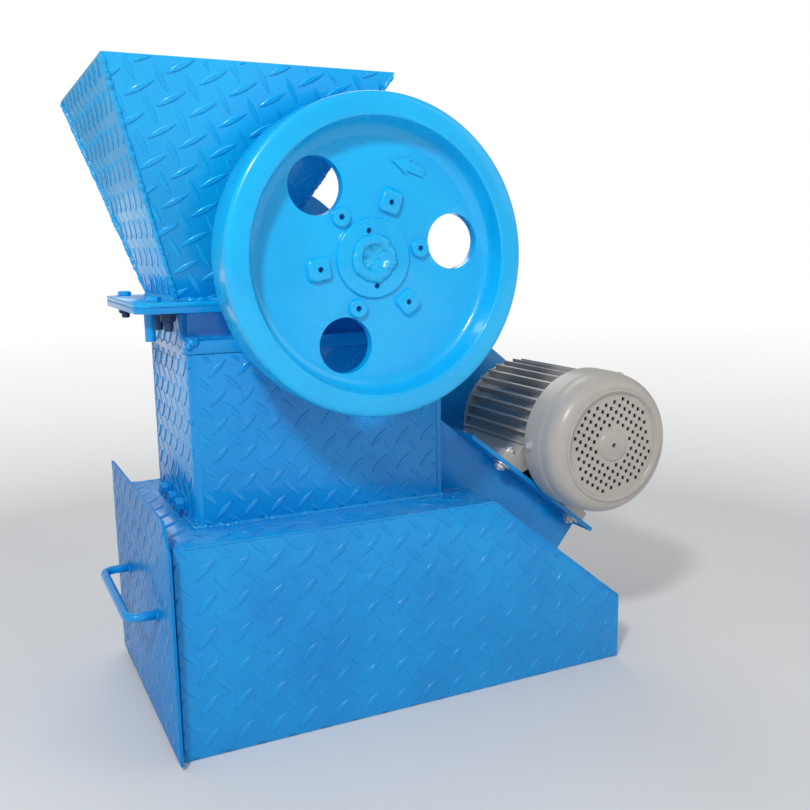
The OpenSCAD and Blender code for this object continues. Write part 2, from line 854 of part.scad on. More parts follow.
module motor_frame() {
    color(GREY) difference() {
        union() {
            slab_xz(motor_frame_y, motor_frame_l) on_motor() {
                circle(motor_core_d / 2);
                for (i = [0 : fin_n - 1])
                    rotate(i * 360 / fin_n) translate([0, -fin_t / 2])
                        square([motor_core_d / 2 + fin_h * fin_scale(i * 360 / fin_n), fin_t]);
            }
            slab_xz(foot_y - foot_pad_l, foot_b + 2 * foot_pad_l) on_motor() for (side = [-1, 1])
                polygon([[side * (foot_a / 2 + foot_pad_out), -motor_h],
                         [side * (foot_a / 2 + foot_pad_out), -motor_h + foot_pad_t],
                         [side * (foot_a / 2 - 8), -motor_h + foot_pad_t + 4],
                         [side * motor_core_d / 2 * cos(30), -motor_core_d / 2 * sin(30)],
                         [side * motor_core_d / 2 * cos(65), -motor_core_d / 2 * sin(65)],
                         [side * (foot_a / 2 - 30), -motor_h]]);
        }
        foot_holes();
    }
}

// Fins next to the feet are shorter, so that they end above the shelf
function fin_scale(a) = sin(a) < -0.75 ? 0.55 : 1;

// The shield's flange, its dished face and the boss round its bearing
shield_lip = 10;
dish_r = 62;
shield_boss_r = 44;

module motor_shield() {
    core = motor_core_d / 2;
    color(GREY) translate([motor_xz[0], shield_y, motor_xz[1]]) rotate([-90, 0, 0]) rotate_extrude()
        polygon([[motor_shaft_d / 2 + run_gap, 0], [core + shield_lip, 0], [core + shield_lip, 8],
                 [core - 4, 18], [dish_r, 24], [shield_boss_r, shield_l],
                 [motor_shaft_d / 2 + run_gap, shield_l]]);
}

// Radius of the cowl's flat face, and the length of its rounded shoulder
cowl_face_r = 82;
cowl_round = 34;

module motor_cowl() {
    r = cowl_d / 2;
    shoulder = [for (a = [0 : 15 : 90])
                [cowl_face_r + (r - cowl_face_r) * sin(a), cowl_round * (1 - cos(a))]];
    color(GREY) translate([motor_xz[0], cowl_y, motor_xz[1]]) rotate([-90, 0, 0]) rotate_extrude()
        polygon(concat([[0, 0]], shoulder, [[r, cowl_l], [0, cowl_l]]));
}

// The shaft ends level with its pulley
module motor_shaft() {
    start = shield_y + 0.3;
    color(STEEL) bar_y(motor_xz, motor_shaft_d / 2, start, pulley_y + pulley_w - start);
}

// The terminal box stands on the side of the frame that faces down the slope
term_l = 92;
term_h = 84;
term_t = 34;
// Distance from the cowl to the box, and from the motor's axis down to its lower edge
term_y = 30;
term_drop = 52;

module motor_terminal_box() {
    color(GREY) slab_xz(motor_frame_y + term_y, term_l) on_motor()
        translate([motor_core_d / 2 + fin_h + 0.3, -term_drop]) square([term_t, term_h]);
}

// Drawer

tray_w = base_inner_w - 2 * tray_gap;
tray_z = base_t + runner_h + 0.3;
tray_x = front_x - drawer_gap;
plate_w = base_w + 2 * drawer_lip;

module drawer_front() {
    low = drawer_foot;
    high = base_h + drawer_rise;
    color(PAINT) plate_yz([[-plate_w / 2, low], [plate_w / 2, low], [plate_w / 2, high],
                           [-plate_w / 2 + drawer_clip_w, high], [-plate_w / 2, high - drawer_clip_h]],
                          tray_x - drawer_t, drawer_t);
}

module drawer_tray() {
    color(PAINT) difference() {
        box([tray_x, -tray_w / 2, tray_z], [tray_l, tray_w, tray_h]);
        box([tray_x + tray_t, -tray_w / 2 + tray_t, tray_z + tray_t],
            [tray_l - 2 * tray_t, tray_w - 2 * tray_t, tray_h]);
    }
}

// Radius of the handle's bends, and how far its middle lies from the machine's
handle_bend = 14;
handle_shift = -10;

// A bar bent twice, with its two legs on the drawer's front plate
module drawer_handle() {
    bend = handle_bend;
    r = handle_d / 2;
    leg = handle_reach - bend - r;
    color(PAINT) translate([tray_x - drawer_t, handle_shift, handle_z]) {
        for (side = [-1, 1]) {
            translate([-leg, side * handle_span / 2, 0]) rotate([0, 90, 0]) cylinder(r = r, h = leg);
            translate([-leg, side * (handle_span / 2 - bend), 0]) rotate(side > 0 ? 90 : 180)
                rotate_extrude(angle = 90) translate([bend, 0]) circle(r);
        }
        translate([-leg - bend, handle_span / 2 - bend, 0]) rotate([90, 0, 0])
            cylinder(r = r, h = handle_span - 2 * bend);
    }
}

base_side_near();
base_side_far();
base_top_plate();
base_slope_plate();
base_tail_plate();
base_floor();
drawer_runners();
casing_side_near();
casing_side_far();
casing_front();
casing_rear();
ledge_near();
ledge_far();
frame_plate_near();
frame_plate_far();
body_flange();
hopper_flange();
hopper_front();
hopper_rear();
hopper_side_near();
hopper_side_far();
fixed_jaw();
moving_jaw();
swing_jaw_plate();
cheek_plates();
toggle_plate();
toggle_seat();
bearing_near();
bearing_far();
bracket_near();
bracket_far();
motor_shelf();
motor_frame();
motor_shield();
motor_cowl();
motor_terminal_box();
motor_shaft();
motor_pulley();
drive_belt();
belt_guard();
flywheel();
main_shaft();
driven_pulley();
drawer_front();
drawer_tray();
drawer_handle();
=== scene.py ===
"""Dresses the jaw crusher: checker plate, welds, castings, motor, fasteners and finishes."""

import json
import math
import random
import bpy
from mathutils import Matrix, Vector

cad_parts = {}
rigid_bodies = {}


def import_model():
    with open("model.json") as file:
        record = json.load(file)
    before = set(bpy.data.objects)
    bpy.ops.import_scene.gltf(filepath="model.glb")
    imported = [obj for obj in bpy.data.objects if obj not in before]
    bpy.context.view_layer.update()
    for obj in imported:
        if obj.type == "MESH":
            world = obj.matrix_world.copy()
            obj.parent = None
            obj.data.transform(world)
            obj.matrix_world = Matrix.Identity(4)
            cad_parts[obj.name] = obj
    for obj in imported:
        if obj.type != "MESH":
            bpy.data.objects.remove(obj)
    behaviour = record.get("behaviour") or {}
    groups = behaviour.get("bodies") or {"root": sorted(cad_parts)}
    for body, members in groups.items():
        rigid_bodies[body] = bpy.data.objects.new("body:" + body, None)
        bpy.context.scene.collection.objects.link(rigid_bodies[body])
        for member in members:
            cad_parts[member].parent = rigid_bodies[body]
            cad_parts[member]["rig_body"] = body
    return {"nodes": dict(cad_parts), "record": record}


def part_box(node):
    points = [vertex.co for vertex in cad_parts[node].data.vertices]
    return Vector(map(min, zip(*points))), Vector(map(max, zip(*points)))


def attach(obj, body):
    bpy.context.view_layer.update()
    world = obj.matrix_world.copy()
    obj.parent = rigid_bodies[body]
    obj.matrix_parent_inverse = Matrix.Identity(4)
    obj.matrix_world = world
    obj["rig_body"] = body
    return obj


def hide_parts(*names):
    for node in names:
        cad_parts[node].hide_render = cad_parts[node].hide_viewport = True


bl_info = {
    "name": "Jaw Crusher",
    "version": (1, 0, 0),
    "blender": (4, 5, 0),
    "location": "View3D > Sidebar > Crusher",
    "description": "Dresses the packed jaw crusher and sets up its studio",
    "category": "Object",
}

import bmesh
import bpy
from mathutils import Matrix, Vector

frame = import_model()
NODES = frame["nodes"]
SLOTS = {part["node"]: part["material_slot"] for part in frame["record"]["subparts"]}
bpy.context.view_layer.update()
X, Y, Z = Vector((1, 0, 0)), Vector((0, 1, 0)), Vector((0, 0, 1))


def low(node):
    """The lowest corner of a CAD node."""
    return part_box(node)[0]


def high(node):
    """The highest corner of a CAD node."""
    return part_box(node)[1]


def ends(first, last=None):
    """The lowest corner of a CAD node, and its highest or that of another node."""
    return low(first), high(last or first)


def middle(node):
    """The middle of a CAD node's box."""
    return (low(node) + high(node)) / 2


SHAFT = Vector((middle("driven_pulley").x, 0, middle("driven_pulley").z))
MOTOR = Vector((middle("motor_pulley").x, 0, middle("motor_pulley").z))


def size(name, description, default, unit="LENGTH"):
    """A number in the sidebar."""
    return bpy.props.FloatProperty(
        name=name, description=description, default=default, unit=unit, precision=4)


def ratio(name, description, default):
    """A plain factor in the sidebar."""
    return size(name, description, default, "NONE")


def rotation(name, description, default):
    """An angle in the sidebar."""
    return size(name, description, default, "ROTATION")


def paint(name, description, default):
    """A colour in the sidebar."""
    return bpy.props.FloatVectorProperty(
        name=name, description=description, default=default, subtype="COLOR", size=3, min=0, max=1)


class CrusherPlate(bpy.types.PropertyGroup):
    """Sizes of the checker plate and the welds."""

    pitch: size("Pitch", "Side of the square on which the lozenges repeat", 0.0375)
    base_pitch: size("Base pitch", "The same on the base and the drawer", 0.0446)
    length: ratio("Lozenge length", "Length of a lozenge, as a part of the pitch", 0.87)
    width: ratio("Lozenge width", "Width of a lozenge, as a part of the pitch", 0.205)
    height: size("Lozenge height", "Height of a lozenge above the plate", 0.0011)
    drawer_share: ratio("Drawer share", "Height of the drawer's lozenges against others", 0.5)
    left_share: ratio("Left share", "Height of lozenges that lean left against others", 0.45)
    hopper_stretch: ratio("Hopper stretch", "How much longer the lozenges of the hopper are", 1.13)
    margin: size("Margin", "Bare strip along the edges of the body's plates", 0.0035)
    hopper_turn: rotation("Hopper turn", "Angle of the pattern on the hopper's near wall", -0.28)
    sheet: size("Sheet", "Thickness of the hopper's sheet", 0.003)
    edge: size("Edge", "Radius of the eased plate edges", 0.0008)
    bead: size("Weld", "Radius of a weld bead", 0.0042)
    ripple: size("Ripple", "Distance between the ripples of a weld bead", 0.0034)


class CrusherWheel(bpy.types.PropertyGroup):
    """Sizes of the flywheel's casting."""

    rim: size("Rim", "Thickness of the rim", 0.029)
    recess: size("Recess", "Depth of the recess in the outer face", 0.033)
    web: size("Web", "Thickness of the web", 0.014)
    hub: size("Hub", "Radius of the hub disc", 0.048)
    hub_rise: size("Hub rise", "Height of the hub disc above the web", 0.004)
    hole: size("Hole", "Radius of the three through holes", 0.035)
    hole_circle: size("Hole circle", "Radius of the circle of the through holes", 0.113)
    boss: size("Boss", "Radius of a round boss at its top", 0.0112)
    boss_circle: size("Boss circle", "Radius of the circle of the round bosses", 0.065)
    pad: size("Pad", "Side of a square boss at its top", 0.026)
    pad_circle: size("Pad circle", "Radius of the circle of the square bosses", 0.072)
    pad_slope: size("Pad slope", "How much farther out the foot of a square boss reaches", 0.0055)
    boss_height: size("Boss height", "Height of the bosses above the web", 0.006)
    draft: size("Draft", "How much wider a boss is at its foot, on each side", 0.0028)
    fillet: size("Fillet", "Radius of the through holes' edges", 0.005)


class CrusherMotor(bpy.types.PropertyGroup):
    """Sizes of the motor's cowl and fasteners."""

    face: size("Face", "Radius of the perforated face", 0.0825)
    shoulder: size("Shoulder", "Depth of the rounded shoulder", 0.032)
    skin: size("Skin", "Thickness of the cowl's sheet", 0.002)
    vent: size("Vent", "Side of one square vent hole", 0.0054)
    vent_pitch: size("Vent pitch", "Distance between vent holes", 0.0109)
    vent_turn: rotation("Vent turn", "Angle of the rows of vent holes", 0.56)
    vent_inner: size("Vent inner", "Radius inside which there are no vent holes", 0.028)
    vent_outer: size("Vent outer", "Radius outside which there are no vent holes", 0.069)
    head: size("Bolt head", "Distance across the flats of a foot bolt", 0.015)
    stud: size("Stud", "Diameter of a foot bolt", 0.008)


class CrusherColours(bpy.types.PropertyGroup):
    """Colours of the finishes; the hopper, drawer, casting and nut colours carry painted light or shade.
    """

    blue: paint("Blue", "The enamel on the plates", (0.001, 0.325, 0.755))
    deep_blue: paint("Deep blue", "The plates' enamel where it lies thin", (0.001, 0.255, 0.67))
    # Painted shade: the drawer's enamel is a deeper copy of the plates' blue, standing in for the shade
    # it lies in
    drawer_blue: paint("Drawer blue", "The enamel on the drawer's front", (0.001, 0.25, 0.66))
    deep_drawer_blue: paint("Deep shaded drawer blue", "The drawer's where it lies thin", (0.001, 0.20, 0.58))
    # Painted light: the hopper's enamel is a lighter copy of the plates' blue, standing in for the
    # sunlight that falls on it
    hopper_blue: paint("Hopper blue", "The enamel on the hopper", (0.001, 0.435, 0.86))
    deep_hopper_blue: paint("Deep sunlit hopper blue", "The hopper's where it lies thin", (0.001, 0.37, 0.80))
    # Painted light: the castings' enamel is a lighter copy of the plates' blue, as it looks in full
    # sunlight
    cast_blue: paint("Cast blue", "The enamel on the castings", (0.001, 0.48, 0.91))
    deep_cast_blue: paint("Deep sunlit cast blue", "The castings' where it lies thin", (0.001, 0.41, 0.84))
    # Painted shade: the nuts' blue paint darkened to navy for the flange's shadow over them
    navy: paint("Navy", "Paint on the nuts under the flange", (0.006, 0.05, 0.15))
    dust: paint("Dust", "Stone dust on the level plates", (0.42, 0.50, 0.56))
    grey: paint("Grey", "The motor's paint", (0.50, 0.468, 0.425))
    zinc: paint("Zinc", "Plated bolts", (0.80, 0.80, 0.79))
    steel: paint("Steel", "Turned steel", (0.50, 0.50, 0.51))
    iron: paint("Iron", "Worn jaw iron", (0.16, 0.155, 0.15))
    rubber: paint("Rubber", "The belt", (0.018, 0.018, 0.019))
    floor: paint("Floor", "The studio floor", (0.80, 0.80, 0.80))


def sizes(kind):
    """One of the scene's groups of sizes or colours."""
    return getattr(bpy.context.scene, "crusher_" + kind)


# Node trees

def add(tree, kind, settings=None, **inputs):
    """Adds a shader node. A keyword sets or links the input of that name, an underscore for a space."""
    made = tree.nodes.new(kind)
    for name, value in (settings or {}).items():
        setattr(made, name, value)
    for name, value in inputs.items():
        join(tree, value, made.inputs[name.replace("_", " ")])
    return made


def join(tree, value, socket):
    """Links a socket to another, or sets it to a plain value."""
    if isinstance(value, bpy.types.NodeSocket):
        tree.links.new(value, socket)
    else:
        socket.default_value = value


def maths(tree, operation, first, second=0.0, third=None, clamp=False):
    """A Math node's result."""
    made = add(tree, "ShaderNodeMath", {"operation": operation, "use_clamp": clamp})
    for value, socket in zip((first, second, third), made.inputs):
        if value is not None:
            join(tree, value, socket)
    return made.outputs[0]


def ramp(tree, value, start, end):
    """A value stretched so that start gives 0 and end gives 1, held between them."""
    made = add(tree, "ShaderNodeMapRange", {"clamp": True}, Value=value, From_Min=start, From_Max=end)
    return made.outputs["Result"]


def blend_colours(tree, factor, first, second):
    """A mix of two colours."""
    made = add(tree, "ShaderNodeMix", {"data_type": "RGBA"})
    for label, value in (("Factor", factor), ("A", first), ("B", second)):
        join(tree, value, made.inputs[label])
    return made.outputs["Result"]


def blend_shaders(tree, factor, first, second):
    """A mix of two shaders."""
    made = add(tree, "ShaderNodeMixShader", Fac=factor)
    join(tree, first, made.inputs[1])
    join(tree, second, made.inputs[2])
    return made.outputs["Shader"]


def noise(tree, place, scale, detail=2.0, rough=0.5):
    """A noise pattern's value at a place."""
    made = add(tree, "ShaderNodeTexNoise", Vector=place, Scale=scale, Detail=detail, Roughness=rough)
    return made.outputs["Fac"]


def effect(name, inputs, outputs):
    """A new node group with float sockets; gives the tree, its inputs, its outputs and the place."""
    tree = bpy.data.node_groups.new(name, "ShaderNodeTree")
    for label, default in inputs.items():
        socket = tree.interface.new_socket(label, in_out="INPUT", socket_type="NodeSocketFloat")
        socket.default_value = default
    for label in outputs:
        tree.interface.new_socket(label, in_out="OUTPUT", socket_type="NodeSocketFloat")
    given, made = tree.nodes.new("NodeGroupInput").outputs, tree.nodes.new("NodeGroupOutput").inputs
    return tree, given, made, object_place(tree)


def object_place(tree):
    """The place that is shaded, in the object's own coordinates."""
    return add(tree, "ShaderNodeTexCoord").outputs["Object"]


def enamel_film():
    """Brushed enamel: soft waves, a fine orange peel and patches of thinner paint."""
    tree, given, made, place = effect(
        "Enamel film", {"Peel": 1.0, "Waves": 1.0}, ["Height", "Thin", "Gloss"])
    peel = maths(tree, "MULTIPLY", noise(tree, place, 420.0), given["Peel"])
    waves = maths(tree, "MULTIPLY", noise(tree, place, 46.0, 3.0), given["Waves"])
    join(tree, maths(tree, "ADD", peel, waves), made["Height"])
    join(tree, ramp(tree, noise(tree, place, 9.0, 4.0, 0.6), 0.35, 0.75), made["Thin"])
    join(tree, noise(tree, place, 28.0, 5.0, 0.65), made["Gloss"])
    return tree


def settled_dust():
    """Dust that lies on faces that look up and thins out in patches."""
    tree, given, made, place = effect("Settled dust", {"Amount": 0.5}, ["Mask"])
    geometry = add(tree, "ShaderNodeNewGeometry")
    normal = add(tree, "ShaderNodeSeparateXYZ", Vector=geometry.outputs["Normal"])
    upward = ramp(tree, normal.outputs["Z"], 0.35, 0.95)
    patches = ramp(tree, noise(tree, place, 17.0, 8.0, 0.7), 0.42, 0.74)
    lying = maths(tree, "MULTIPLY", upward, patches)
    join(tree, maths(tree, "MULTIPLY", lying, given["Amount"]), made["Mask"])
    return tree


def cast_skin():
    """The skin of a sand casting: rounded grains and shallow dents."""
    tree, given, made, place = effect("Cast skin", {"Grain": 1.0, "Dents": 1.0}, ["Height", "Tone"])
    grain = maths(tree, "MULTIPLY", noise(tree, place, 240.0, 4.0, 0.6), given["Grain"])
    dents = maths(tree, "MULTIPLY", noise(tree, place, 34.0, 3.0), given["Dents"])
    join(tree, maths(tree, "ADD", grain, dents), made["Height"])
    join(tree, noise(tree, place, 60.0, 6.0, 0.6), made["Tone"])
    return tree


def scuffs():
    """Fine scratches and rubbed spots."""
    tree, given, made, place = effect("Scuffs", {"Amount": 0.5}, ["Mask"])
    streaks = add(
        tree, "ShaderNodeMapping", Vector=place, Scale=(38.0, 260.0, 90.0), Rotation=(0.3, 0.7, 0.2))
    lines = ramp(tree, noise(tree, streaks.outputs["Vector"], 1.0, 3.0), 0.66, 0.74)
    spots = ramp(tree, noise(tree, place, 90.0, 2.0), 0.68, 0.72)
    both = maths(tree, "MAXIMUM", lines, spots)
    join(tree, maths(tree, "MULTIPLY", both, given["Amount"]), made["Mask"])
    return tree


EFFECTS = {
    "Enamel film": enamel_film, "Settled dust": settled_dust, "Cast skin": cast_skin, "Scuffs": scuffs}


def use(tree, name, **inputs):
    """Places one of the effects, made the first time it is asked for; gives its outputs."""
    group = bpy.data.node_groups.get(name) or EFFECTS[name]()
    return add(tree, "ShaderNodeGroup", {"node_tree": group}, **inputs).outputs


def finish(name, rough, metallic=0.0, **constants):
    """A new material; gives its tree and its shader."""
    material = bpy.data.materials.new(name)
    material.use_nodes = True
    tree = material.node_tree
    shader = tree.nodes["Principled BSDF"]
    shader.inputs["Roughness"].default_value = rough
    shader.inputs["Metallic"].default_value = metallic
    for label, value in constants.items():
        shader.inputs[label.replace("_", " ")].default_value = value
    return material, tree, shader


def feed(tree, shader, colour, rough, height=None, distance=0.0, strength=0.0):
    """Links a finish's colour, and its roughness and relief where they vary."""
    join(tree, colour, shader.inputs["Base Color"])
    if rough:
        join(tree, rough, shader.inputs["Roughness"])
    if height:
        relief = add(tree, "ShaderNodeBump", Height=height, Distance=distance, Strength=strength)
        join(tree, relief.outputs["Normal"], shader.inputs["Normal"])


def rgba(colour, part=1.0):
    """A colour from the sidebar, or a part of it, with full opacity."""
    return (*(channel * part for channel in colour), 1.0)


def blue_enamel(name, colour, dust, cast, gloss, specular=0.3):
    """Blue enamel, with dust, and with a casting's skin under it where cast is above 0."""
    colours = sizes("colours")
    material, tree, shader = finish(
        name, 0.3, Coat_Weight=gloss, Coat_Roughness=0.08, Specular_IOR_Level=specular)
    film = use(tree, "Enamel film", Peel=0.35, Waves=1.0)
    thick, thin = getattr(colours, colour), getattr(colours, "deep_" + colour)
    body = blend_colours(tree, film["Thin"], rgba(thick), rgba(thin))
    height = film["Height"]
    if cast:
        skin = use(tree, "Cast skin", Grain=cast, Dents=cast)
        height = maths(tree, "ADD", height, skin["Height"])
    rough = maths(tree, "MULTIPLY_ADD", film["Gloss"], 0.16, 0.20)
    if dust:
        mask = use(tree, "Settled dust", Amount=dust)["Mask"]
        body = blend_colours(tree, mask, body, rgba(colours.dust))
        rough = maths(tree, "ADD", rough, mask, clamp=True)
    feed(tree, shader, body, rough, height, 0.0006, 0.5)
    return material


def cast_finish(name, colour, deep, rough, metallic=0.0, grain=0.3, dents=0.3, distance=0.0002,
                strength=0.4, gloss=None, rubbed=0.0):
    """A casting's skin, its tone between a colour and a share of it, rubbed to steel in spots."""
    colours = sizes("colours")
    material, tree, shader = finish(name, rough, metallic)
    skin = use(tree, "Cast skin", Grain=grain, Dents=dents)
    light = getattr(colours, colour)
    body = blend_colours(tree, skin["Tone"], rgba(light), rgba(light, deep))
    if rubbed:
        mask = use(tree, "Scuffs", Amount=rubbed)["Mask"]
        body = blend_colours(tree, mask, body, rgba(colours.steel))
    varied = ramp(tree, skin["Tone"], *gloss) if gloss else None
    feed(tree, shader, body, varied, skin["Height"], distance, strength)
    return material


def motor_paint(name):
    """Warm grey motor enamel, a little rubbed."""
    colours = sizes("colours")
    material, tree, shader = finish(name, 0.4)
    film = use(tree, "Enamel film", Peel=0.5, Waves=0.4)
    mask = use(tree, "Scuffs", Amount=0.08)["Mask"]
    body = blend_colours(tree, film["Thin"], rgba(colours.grey), rgba(colours.grey, 0.82))
    body = blend_colours(tree, mask, body, rgba(colours.zinc))
    rough = maths(tree, "MULTIPLY_ADD", film["Gloss"], 0.2, 0.22)
    feed(tree, shader, body, rough, film["Height"], 0.0004, 0.35)
    return material


def turned_steel(name):
    """Turned steel with fine scratches."""
    steel = sizes("colours").steel
    material, tree, shader = finish(name, 0.3, 1.0)
    mask = use(tree, "Scuffs", Amount=0.8)["Mask"]
    body = blend_colours(tree, mask, rgba(steel), rgba(steel, 0.6))
    feed(tree, shader, body, ramp(tree, mask, -0.8, 1.8))
    return material


# What makes each finish, and what it is given after its name
FINISHES = {
    "Plate paint": (blue_enamel, "blue", 0.18, 0.0, 0.35),
    # Painted light: the hopper's finish takes the lighter, sunlit copy of the plates' blue
    "Hopper paint": (blue_enamel, "hopper_blue", 0.18, 0.0, 0.35),
    # Painted shade: the drawer's finish takes the deeper, shaded copy of the plates' blue, with little
    # gloss
    "Drawer paint": (blue_enamel, "drawer_blue", 0.0, 0.0, 0.06, 0.12),
    # Painted light: the castings' finish takes the lighter, sunlit copy of the plates' blue
    "Casting paint": (blue_enamel, "cast_blue", 0.0, 0.8, 0.6),
    # Painted shade: the nuts under the flange take the navy that stands in for the flange's shadow
    "Nut paint": (cast_finish, "navy", 0.5, 0.4),
    "Motor paint": (motor_paint,),
    "Zinc plate": (cast_finish, "zinc", 0.7, 0.35, 0.55, 0.3, 0.3, 0.0002, 0.4, (-0.3, 1.9)),
    "Turned steel": (turned_steel,),
    "Jaw iron": (cast_finish, "iron", 0.6, 0.6, 0.7, 1.0, 1.0, 0.0012, 0.8, (-0.9, 1.3), 0.6),
    "Belt rubber": (cast_finish, "rubber", 2.4, 0.75, 0.0, 0.6, 0.2, 0.0004, 0.5),
}
# The hopper's walls take the painted-light copy of the enamel
FINISH_OF_NODE = {node: "Hopper paint" for node in SLOTS if node.startswith("hopper_")}
# The drawer's front takes the painted-shade copy of the enamel
FINISH_OF_NODE["drawer_front"] = "Drawer paint"
FINISH_OF_SLOT = {
    "blue_paint": "Plate paint",
    # Painted castings take the painted-light copy of the enamel
    "painted_casting": "Casting paint",
    "bare_casting": "Jaw iron",
    "bare_steel": "Turned steel",
    "motor_grey": "Motor paint",
    "belt_rubber": "Belt rubber",
}


def coat(obj, name):
    """Gives an object one of the finishes, made the first time it is asked for."""
    make, *settings = FINISHES[name]
    material = bpy.data.materials.get(name) or make(name, *settings)
    obj.data.materials.clear()
    obj.data.materials.append(material)


# Pieces

def placed(name, data):
    """A new object in the scene."""
    obj = bpy.data.objects.new(name, data)
    bpy.context.scene.collection.objects.link(obj)
    return obj


def piece(name, bm, node, finish_name=None, smooth=True):
    """Makes a bmesh a piece that rides with a CAD node's body and takes that node's slot."""
    obj = placed(name, template_of(name, bm))
    obj.data.polygons.foreach_set("use_smooth", [smooth] * len(obj.data.polygons))
    coat(obj, finish_name or FINISH_OF_NODE.get(node) or FINISH_OF_SLOT[SLOTS[node]])
    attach(obj, NODES[node]["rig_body"])
    return obj


def ease(obj, width, segments=2, sharp=30.0):
    """Rounds an object's sharp edges and keeps its flat faces flat."""
    bevel = obj.modifiers.new("Eased edges", "BEVEL")
    bevel.width = width
    bevel.segments = segments
    bevel.limit_method = "ANGLE"
    bevel.angle_limit = math.radians(sharp)
    bevel.harden_normals = True


def merged(node):
    """A bmesh of a CAD node with its doubles merged and its flat faces joined."""
    bm = bmesh.new()
    bm.from_mesh(NODES[node].data)
    bmesh.ops.remove_doubles(bm, verts=bm.verts, dist=1e-5)
    bmesh.ops.dissolve_limit(bm, angle_limit=math.radians(1), verts=bm.verts, edges=bm.edges)
    return bm


def eased(nodes, width, segments=2, sharp=30.0):
    """Copies of CAD nodes with eased edges, in the nodes' places."""
    for node in nodes:
        obj = piece("eased_" + node, merged(node), node)
        ease(obj, width, segments, sharp)
        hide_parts(node)


def place_at(origin, x_axis, z_axis):
    """The matrix of a frame at origin, with its Z along z_axis and its X near x_axis."""
    z = Vector(z_axis).normalized()
    x = (Vector(x_axis) - Vector(x_axis).dot(z) * z).normalized()
    y = z.cross(x)
    return Matrix.Translation(Vector(origin)) @ Matrix((x, y, z)).transposed().to_4x4()


def template_of(name, bm):
    """Mesh data made from a bmesh."""
    data = bpy.data.meshes.new(name)
    bm.to_mesh(data)
    bm.free()
    return data


def stamp(bm, template, matrix):
    """Adds a copy of mesh data to a bmesh, placed by a matrix."""
    start = len(bm.verts)
    bm.from_mesh(template)
    bm.verts.ensure_lookup_table()
    bmesh.ops.transform(bm, matrix=matrix, verts=bm.verts[start:])


def disc(bm, matrix, radius, depth, segments=32, tip=None):
    """Adds a closed disc that starts at the matrix's origin and grows along its Z."""
    made = bmesh.ops.create_cone(
        bm, cap_ends=True, segments=segments, radius1=radius, radius2=radius if tip is None else tip,
        depth=depth, matrix=matrix @ Matrix.Translation((0, 0, depth / 2)))
    return made["verts"]


def spun(profile, segments=96):
    """A bmesh of a closed profile of (radius, height) points, spun round Z."""
    bm = bmesh.new()
    verts = [bm.verts.new((radius, 0, height)) for radius, height in profile]
    edges = [bm.edges.new((verts[i - 1], verts[i])) for i in range(len(verts))]
    bmesh.ops.spin(
        bm, geom=verts + edges, axis=Z, cent=(0, 0, 0), angle=math.tau, steps=segments, use_merge=True)
    bmesh.ops.remove_doubles(bm, verts=bm.verts, dist=1e-6)
    bmesh.ops.recalc_face_normals(bm, faces=bm.faces)
    return bm


def rounded(profile, radii, segments=4):
    """A closed profile with its corners rounded: a radius for each corner, or 0."""
    points = []
    for i, corner in enumerate(profile):
        corner = Vector(corner)
        before = Vector(profile[i - 1]) - corner
        after = Vector(profile[(i + 1) % len(profile)]) - corner
        radius = radii.get(i, 0)
        if not radius:
            points.append(corner)
            continue
        half = before.angle(after) / 2
        cut = min(radius / math.tan(half), before.length * 0.48, after.length * 0.48)
        start = corner + before.normalized() * cut
        end = corner + after.normalized() * cut
        for step in range(segments + 1):
            t = step / segments
            points.append(start * (1 - t) ** 2 + corner * 2 * t * (1 - t) + end * t ** 2)
    return points


# Fasteners

WASHER = 0.0022


def hex_bolt(bm, matrix, flats, height, shank, proud=0.0, washer=WASHER):
    """Adds a hexagon head, or a nut with the shank standing proud of it, on a washer."""
    if washer:
        disc(bm, matrix, flats * 0.95, washer, 32)
    head = matrix @ Matrix.Translation((0, 0, washer))
    disc(bm, head, flats / math.sqrt(3), height * 0.82, 6)
    chamfer = head @ Matrix.Translation((0, 0, height * 0.8))
    disc(bm, chamfer, flats * 0.53, height * 0.2, 24, flats * 0.44)
    if proud:
        end = chamfer @ Matrix.Translation((0, 0, height * 0.1))
        disc(bm, end, shank / 2, proud, 20, shank / 2 - 0.0006)


def fasteners(name, node, bolts, finish_name=None, width=0.0006, segments=1):
    """One piece of several bolts, each given as hex_bolt's settings."""
    bm = bmesh.new()
    for bolt in bolts:
        hex_bolt(bm, *bolt)
    ease(piece(name, bm, node, finish_name), width, segments)


# Checker plate

# Steps of a lozenge's side: share of its rise, and how far it draws in along X and Y
LOZENGE_STEPS = ((0.25, 1.0, 1.0), (0.6, 0.965, 0.80), (0.15, 0.97, 0.80), (0.0, 0.97, 0.84))


def lozenge(name, pitch, stretch):
    """One raised lozenge with a flat top, its long side along X."""
    plate = sizes("plate")
    length, width = plate.length * pitch * stretch, plate.width * pitch
    bm = bmesh.new()
    bmesh.ops.create_circle(bm, cap_ends=True, segments=12, radius=1)
    for vert in bm.verts:
        bend = vert.co.y * abs(vert.co.y)
        vert.co = Vector((vert.co.x * length / 2, bend * width / 2, -plate.height / 3))
    bmesh.ops.recalc_face_normals(bm, faces=bm.faces)
    top = list(bm.faces)
    rise = plate.height * 1.33
    for i, (step, *scale) in enumerate(LOZENGE_STEPS):
        made = bmesh.ops.extrude_face_region(bm, geom=top)["geom"]
        if i:
            bmesh.ops.delete(bm, geom=top, context="FACES_ONLY")
        verts = [item for item in made if isinstance(item, bmesh.types.BMVert)]
        top = [item for item in made if isinstance(item, bmesh.types.BMFace)]
        bmesh.ops.translate(bm, vec=(0, 0, step * rise), verts=verts)
        bmesh.ops.scale(bm, vec=(*scale, 1), verts=verts)
    bmesh.ops.recalc_face_normals(bm, faces=bm.faces)
    return template_of(name, bm)


